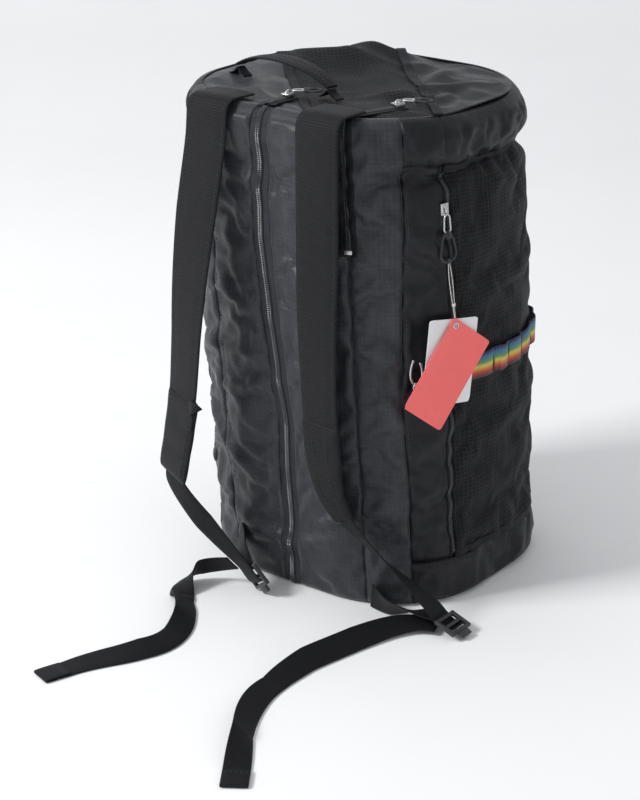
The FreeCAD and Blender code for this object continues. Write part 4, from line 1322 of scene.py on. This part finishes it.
def make_hook():
    out = way_out(np.array(HOOK_ANGLE))
    place = Place(rest_spot(HOOK_ANGLE, HOOK_HEIGHT, 0.009), LEAN_WAY, np.cross(LEAN_WAY, out))
    turn = np.linspace(math.radians(52), math.radians(330), 60)
    line = place.at(np.cos(turn) * 0.0135, np.sin(turn) * 0.0058 * (1 - 0.25 * np.cos(turn)), 0)
    hook = tube_mesh("hook_wire", line, 0.00125, 12, place.z)
    eye = tube_mesh("hook_eye", place.at(-0.0165 + np.cos(np.linspace(0, 6.2, 30)) * 0.0026,
                                         np.sin(np.linspace(0, 6.2, 30)) * 0.0034, 0), 0.0010, 10, place.z)
    collar = bevelled("hook_collar", place, (0.0036, 0.0056, 0.0036), (-0.0132, 0, 0), 0.0010)
    piece(join("hook_piece", [hook, eye, collar]), ZINC, "zinc", "snap_hook", body="snap_hook")
    gate_line = place.at(np.linspace(-0.0062, 0.0068, 14), 0.0055, 0)
    gate = tube_mesh("gate_wire", gate_line, 0.0010, 10, place.z)
    piece(gate, ZINC, "zinc", "hook_gate", body="hook_gate")
    foot = rest_spot(HOOK_ANGLE, HOOK_HEIGHT - 0.012, 0.0)
    strap = []
    for side in (-1, 1):
        share = np.linspace(0, 1, 14)
        path = (foot + out * (0.002 + 0.0065 * np.sin(share * math.pi / 2))[:, None]
                + UP * (side * 0.014 * (1 - share))[:, None])
        across = np.repeat([np.cross(UP, out)], 14, axis=0)
        strap.append(web_mesh(f"hook_loop_{side}", path, across, 0.010, 0.0012))
    piece(join("hook_loop_web", strap), WEB_BLACK, "webbing", "hook_loop")


# ---------------------------------------------------------------- straps

def turned_across(count, *stops):
    """Width directions along a path, from (share, direction) stops."""
    shares = [share for share, _ in stops]
    ways = np.array([way for _, way in stops], float)
    wanted = np.linspace(0, 1, count)
    return unit(np.stack([np.interp(wanted, shares, ways[:, axis]) for axis in range(3)], axis=1))


def edge_rows(name, path, across, width, inset, lift):
    """Two stitch rows along webbing, one near each edge."""
    ahead = tangents(path)
    across = unit(across - ahead * np.sum(across * ahead, axis=1, keepdims=True))
    up = np.cross(across, ahead)
    rows = []
    for way in (-1, 1):
        line = path + across * (way * (width / 2 - inset)) + up * lift
        rows.append(stitches(f"{name}_{way}", line, up * np.sign(lift), 0.0034, 0.0016, 0.0007, 0.0004))
    return rows


def make_strap(side, path, width_ways):
    """The 50 mm strap from its root on the top, one piece along a curved path."""
    line = smooth_path(path, 120)
    across = turned_across(120, *width_ways)
    strap = web_mesh(f"{side}_strap_web", line, across, 0.050, 0.0024, cup=0.0012)
    rows = edge_rows(f"{side}_strap_row", line, across, 0.050, 0.0045, -0.0016)
    rows += edge_rows(f"{side}_strap_back", line, across, 0.050, 0.0045, 0.0016)
    strap.data.materials.append(WEB_BLACK)
    for row in rows:
        row.data.materials.append(STITCH)
    item = join(f"{side}_strap_piece", [strap, *rows])
    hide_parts(f"{side}_strap_root", f"{side}_strap")
    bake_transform(item)


def make_sleeve(side, path, width_ways, widths, fold):
    """The padded end of a strap: a soft crowned pad with bound edges and a folded corner tab."""
    count, ring = 46, 30
    line = smooth_path(path, count)
    across = turned_across(count, *width_ways)
    ahead = tangents(line)
    across = unit(across - ahead * np.sum(across * ahead, axis=1, keepdims=True))
    up = np.cross(across, ahead)
    turn = np.linspace(0, 2 * math.pi, ring, endpoint=False)
    points, flat = [], []
    for index in range(count):
        share = index / (count - 1)
        ends = min(1, math.sin(math.pi * min(max(share, 0.004), 0.996)) * 6) ** 0.5
        wide = 0.0262 * np.interp(share, np.linspace(0, 1, len(widths)), widths) * (0.95 + 0.05 * ends)
        deep = 0.0038 * (0.35 + 0.65 * ends) * (1 + 0.10 * math.sin(share * 17))
        for angle in turn:
            a, b = math.cos(angle), math.sin(angle)
            x = math.copysign(abs(a) ** 0.55, a) * wide
            z = math.copysign(abs(b) ** 0.85, b) * deep
            points.append(line[index] + across[index] * x + up[index] * z)
            flat.append((x, share * 0.082))
    points = np.array(points)
    faces = grid_faces(count, ring, wrap=True)
    faces += [tuple(range(ring))[::-1], tuple(range(ring * (count - 1), ring * count))]
    pad = add_object(f"{side}_pad", points, faces, flat)
    pad.data.materials.append(WEB_BLACK)
    rows = edge_rows(f"{side}_pad_row", line, across, 0.047 * min(widths), 0.0045, -0.0040)
    for row in rows:
        row.data.materials.append(STITCH)
    extra = []
    if fold:
        corner = line[3] + across[3] * 0.019
        tab_line = np.array([corner + up[3] * -0.004,
                             corner + across[3] * 0.008 + up[3] * -0.006 - ahead[3] * 0.004,
                             corner + across[3] * 0.010 + up[3] * -0.003 + ahead[3] * 0.001])
        tab = web_mesh(f"{side}_tab", smooth_path([tuple(p) for p in tab_line], 10),
                       np.repeat([ahead[3]], 10, axis=0), 0.015, 0.002)
        tab.data.materials.append(WEB_BLACK)
        extra.append(tab)
    item = join(f"{side}_sleeve_pad", [pad, *rows, *extra])
    finish_piece(item, f"{side}_strap", None, "webbing", f"{side}_strap_sleeve")


def make_adjuster(side, path, width_ways):
    line = smooth_path(path, 70)
    across = turned_across(70, *width_ways)
    item = web_mesh(f"{side}_adjuster_web", line, across, 0.025, 0.0017, cup=0.0006)
    item.data.materials.append(WEB_BLACK)
    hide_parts(f"{side}_adjuster_webbing")
    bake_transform(item)


def make_lock(side, place):
    """A moulded ladder lock: two rails, three bars and a lifting tongue with grip ridges."""
    parts_ = []
    for way in (-1, 1):
        parts_.append(bevelled(f"rail_{way}", place, (0.024, 0.0040, 0.0040), (0, way * 0.0135, 0), 0.0009))
    for number, x in enumerate((-0.0100, 0.0, 0.0100)):
        height = (0.0040, 0.0030, 0.0040)[number]
        parts_.append(bevelled(f"bar_{number}", place, (0.0038, 0.027, height), (x, 0, 0), 0.0010))
    parts_.append(bevelled("tongue", place, (0.0085, 0.0165, 0.0026), (0.0150, 0, 0.0002), 0.0010,
                           taper=0.85))
    for number in range(3):
        parts_.append(bevelled(f"ridge_{number}", place, (0.0011, 0.0135, 0.0008),
                               (0.0132 + number * 0.0022, 0, 0.0016), 0.0003))
    item = join(f"{side}_lock_piece", parts_)
    piece(item, LOCK_GREY, "lock_plastic", f"{side}_ladder_lock", body=f"{side}_lock")


def make_anchor(side, path, width_ways):
    line = smooth_path(path, 40)
    item = web_mesh(f"{side}_anchor_web", line, turned_across(40, *width_ways), 0.025, 0.0016)
    piece(item, WEB_BLACK, "webbing", f"{side}_anchor_webbing")


LOW = 0.0011
TAILS = {
    "left": [(-0.052, -0.182, 0.016), (-0.072, -0.186, 0.010), (-0.088, -0.199, 0.005),
             (-0.088, -0.221, LOW),
             (-0.070, -0.241, LOW), (-0.046, -0.262, LOW), (-0.027, -0.294, LOW), (-0.020, -0.328, LOW),
             (-0.033, -0.360, LOW), (-0.050, -0.386, LOW), (-0.062, -0.409, LOW), (-0.069, -0.430, LOW)],
    "right": [(0.172, -0.1385, 0.0055), (0.158, -0.142, 0.0045), (0.146, -0.154, 0.004),
              (0.135, -0.177, 0.0025), (0.126, -0.222, LOW),
              (0.115, -0.275, LOW), (0.110, -0.330, LOW), (0.127, -0.380, LOW), (0.155, -0.425, LOW),
              (0.187, -0.473, LOW)],
}


def make_tail(side, tilts):
    """A loose webbing tail on the ground, tilted here and there, and its folded hem."""
    line = smooth_path(TAILS[side], 150)
    ahead = tangents(line)
    level = unit(np.cross(ahead, UP))
    rise = unit(np.cross(level, ahead))
    shares, turns = zip(*tilts)
    tilt = np.radians(np.interp(np.linspace(0, 1, 150), shares, turns))
    across = level * np.cos(tilt)[:, None] + rise * np.sin(tilt)[:, None]
    lift = np.abs(np.sin(tilt)) * 0.0125 + 0.0002
    body_line = line + UP * lift[:, None]
    item = web_mesh(f"{side}_tail_web", body_line, across, 0.025, 0.0017, cup=0.0004)
    item.data.materials.append(WEB_BLACK)
    end, way = line[-1], ahead[-1]
    fold = np.array([end - way * 0.012 + UP * 0.0022, end + way * 0.006 + UP * 0.0024,
                     end + way * 0.0148 + UP * 0.0018,
                     end + way * 0.0148 + UP * 0.0002, end + way * 0.002 + UP * 0.0001])
    hem_line = smooth_path([tuple(p) for p in fold], 30)
    hem = web_mesh(f"{side}_hem_web", hem_line, np.repeat([level[-1]], 30, axis=0), 0.0252, 0.0015)
    rows = []
    for shift in (-0.008, -0.0055):
        row = np.array([end + way * shift + level[-1] * across_ + UP * 0.0032
                        for across_ in np.linspace(-0.011, 0.011, 20)])
        rows.append(stitches(f"{side}_hem_row_{shift}", row, np.repeat([UP], 20, axis=0)))
    hem.data.materials.append(WEB_BLACK)
    for row in rows:
        row.data.materials.append(STITCH)
    hem = join(f"{side}_hem", [hem, *rows])
    finish_piece(hem, "pack", None, "webbing", f"{side}_tail_hem")
    finish_piece(item, "pack", None, "webbing", f"{side}_tail")


def make_straps():
    wide = (1.0, 0.0, 0.0)
    make_strap("left", [(-0.086, -0.126, 0.5016), (-0.086, -0.146, 0.5026), (-0.086, -0.160, 0.5030),
                        (-0.086, -0.1685, 0.497), (-0.086, -0.1695, 0.482), (-0.086, -0.1715, 0.462),
                        (-0.086, -0.182, 0.420), (-0.087, -0.192, 0.370), (-0.088, -0.201, 0.310),
                        (-0.089, -0.206, 0.250), (-0.0905, -0.209, 0.206), (-0.093, -0.212, 0.180)],
               ((0, wide), (0.4, wide), (0.75, (0.96, -0.28, 0)), (1, (0.93, -0.36, 0))))
    make_sleeve("left", [(-0.0895, -0.2085, 0.210), (-0.0930, -0.2105, 0.180), (-0.0970, -0.2135, 0.150),
                         (-0.1010, -0.2155, 0.124)],
                ((0, (0.95, -0.30, 0)), (1, (0.93, -0.36, -0.05))), (1, 1, 1, 1), True)
    left_lock = Place((-0.022, -0.181, 0.019), (0.62, 0.12, -0.72), (0.8, -0.35, 0.45))
    make_lock("left", left_lock)
    make_adjuster("left", [(-0.0975, -0.2120, 0.150), (-0.1010, -0.2140, 0.126), (-0.1000, -0.2120, 0.112),
                           (-0.0830, -0.2050, 0.086), (-0.0620, -0.1985, 0.063), (-0.0450, -0.1930, 0.045),
                           tuple(left_lock.at(-0.014, 0, 0.0035)), tuple(left_lock.at(-0.004, 0, 0.0045)),
                           tuple(left_lock.at(0.0035, 0, 0.0030)), tuple(left_lock.at(0.0055, 0, -0.0010))],
                  ((0, (0.93, -0.36, 0)), (0.2, (1, -0.1, 0.1)), (0.5, (0.85, 0.10, 0.5)),
                   (0.85, (0.76, -0.38, 0.53)),
                   (1, (0.76, -0.38, 0.53))))
    near = left_lock.at(-0.011, 0, 0.0005)
    make_anchor("left", [(-0.0720, -0.1450, 0.040), (-0.0640, -0.1530, 0.040), (-0.0530, -0.1680, 0.041),
                         (-0.0420, -0.1780, 0.038), tuple(near)],
                ((0, (0.2, 0.1, 1)), (0.4, (0.4, 0.0, 0.9)), (1, (0.76, -0.38, 0.53))))

    make_strap("right", [(0.046, -0.126, 0.5040), (0.046, -0.146, 0.5045), (0.046, -0.160, 0.5045),
                         (0.046, -0.1685, 0.498), (0.046, -0.1695, 0.482), (0.046, -0.169, 0.462),
                         (0.046, -0.169, 0.420), (0.046, -0.168, 0.370), (0.046, -0.170, 0.310),
                         (0.048, -0.170, 0.250), (0.0495, -0.168, 0.196), (0.051, -0.166, 0.172)],
               ((0, wide), (0.5, wide), (0.8, (0.98, -0.17, 0)), (1, (0.98, -0.2, 0))))
    make_sleeve("right", [(0.0490, -0.1680, 0.200), (0.0510, -0.1665, 0.165), (0.0545, -0.1655, 0.142),
                          (0.0610, -0.1645, 0.121), (0.0730, -0.1605, 0.101)],
                ((0, (0.98, -0.2, 0)), (0.5, (0.97, -0.2, 0.15)), (1, (0.75, -0.3, 0.6))),
                (1, 1, 0.86, 0.62), False)
    right_lock = Place((0.186, -0.134, 0.011), (0.94, 0, -0.34), (0, -1, 0))
    make_lock("right", right_lock)
    make_adjuster("right", [(0.0600, -0.1645, 0.124), (0.0700, -0.1615, 0.106), (0.0860, -0.1570, 0.088),
                            (0.1120, -0.1500, 0.066), (0.1400, -0.1430, 0.044), (0.1620, -0.1390, 0.028),
                            tuple(right_lock.at(-0.012, 0, 0.0035)),
                            tuple(right_lock.at(-0.003, 0, 0.0040)),
                            tuple(right_lock.at(0.0040, 0, 0.0025)),
                            tuple(right_lock.at(0.0056, 0, -0.0010))],
                  ((0, (0.8, -0.3, 0.6)), (0.15, (0.75, -0.4, 0.6)), (0.4, (0.5, -0.7, 0.55)),
                   (0.7, (0.15, -0.97, 0.2)),
                   (0.85, (0.0, -1, 0.0)), (1, (0, -1, 0))))
    seam = rest_spot(BACK_SEAM + 4, 0.01375, 0.004)
    near = right_lock.at(-0.012, 0, 0.0004)
    make_anchor("right", [tuple(seam), tuple(seam + (0.022, -0.010, 0)), (0.125, -0.146, 0.0135),
                          (0.150, -0.1385, 0.0150), tuple(near)],
                ((0, (0, 0.1, 1)), (0.35, (0.1, -0.5, 0.85)), (0.75, (0, -1, 0.15)), (1, (0, -1, 0))))
    make_tail("left", ((0, -50), (0.12, -62), (0.20, -30), (0.30, 34), (0.42, 36), (0.55, 18), (0.7, 24),
                       (0.9, 8),
                       (1, 0)))
    make_tail("right", ((0, 0), (0.10, 20), (0.25, 42), (0.42, 46), (0.55, 12), (0.68, 30), (0.82, 44),
                        (0.95, 10),
                        (1, 0)))


HANDLE_WAY = np.array([math.cos(math.radians(-10)), math.sin(math.radians(-10)), 0])
HANDLE_MID = np.array([-0.068, -0.070, HEIGHT])


def make_handle():
    """The thin haul handle, folded lengthwise, on two sewn tabs."""
    foot, rise, half = 0.0088, 0.025 - 0.0088, 0.068
    arch = [tuple(HANDLE_MID + UP * (foot + rise * lift) + HANDLE_WAY * (half * share))
            for share, lift in ((-1, 0), (-0.80, 0.45), (-0.5, 0.84), (-0.15, 1.02), (0.2, 1.0),
                                (0.55, 0.80), (0.82, 0.42), (1, 0))]
    line = smooth_path(arch, 70)
    side = np.repeat([np.cross(UP, HANDLE_WAY)], 70, axis=0)
    broad = 0.0125 + 0.012 * np.sin(math.pi * np.linspace(0, 1, 70)) ** 0.7
    web = web_mesh("handle_web", line, side, broad, 0.0022, cup=0.0004)
    rows = edge_rows("handle_row", line, side, 0.0105, 0.0016, -0.0016)
    web.data.materials.append(WEB_BLACK)
    for row in rows:
        row.data.materials.append(STITCH)
    finish_piece(join("handle_piece", [web, *rows]), "haul_handle", None, "webbing", "haul_handle")
    for label, way in (("left", -1), ("right", 1)):
        foot_mid = HANDLE_MID + HANDLE_WAY * (half * way)
        path = [tuple(foot_mid + HANDLE_WAY * (way * x) + UP * z)
                for x, z in ((0.011, -0.0012), (0.005, 0.0006), (0.0, 0.0040), (-0.0015, 0.0070),
                             (-0.004, 0.0045), (-0.009, 0.0008), (-0.013, -0.0012))]
        tab_line = smooth_path(path, 30)
        tab = web_mesh(f"handle_tab_{label}", tab_line, side[:30], 0.0105, 0.0018)
        piece(tab, WEB_BLACK, "webbing", f"haul_handle_tab_{label}")


# ---------------------------------------------------------------- the whole pack

make_camera()
make_studio()
cloth_wall = Wall()
make_straps()
make_shell(cloth_wall)
make_top()
make_pocket(cloth_wall)
make_zips(cloth_wall)
seam_stitches(cloth_wall)
make_sliders()
make_tags()
make_chain(cloth_wall)
make_hook()
make_handle()

bpy.context.view_layer.update()
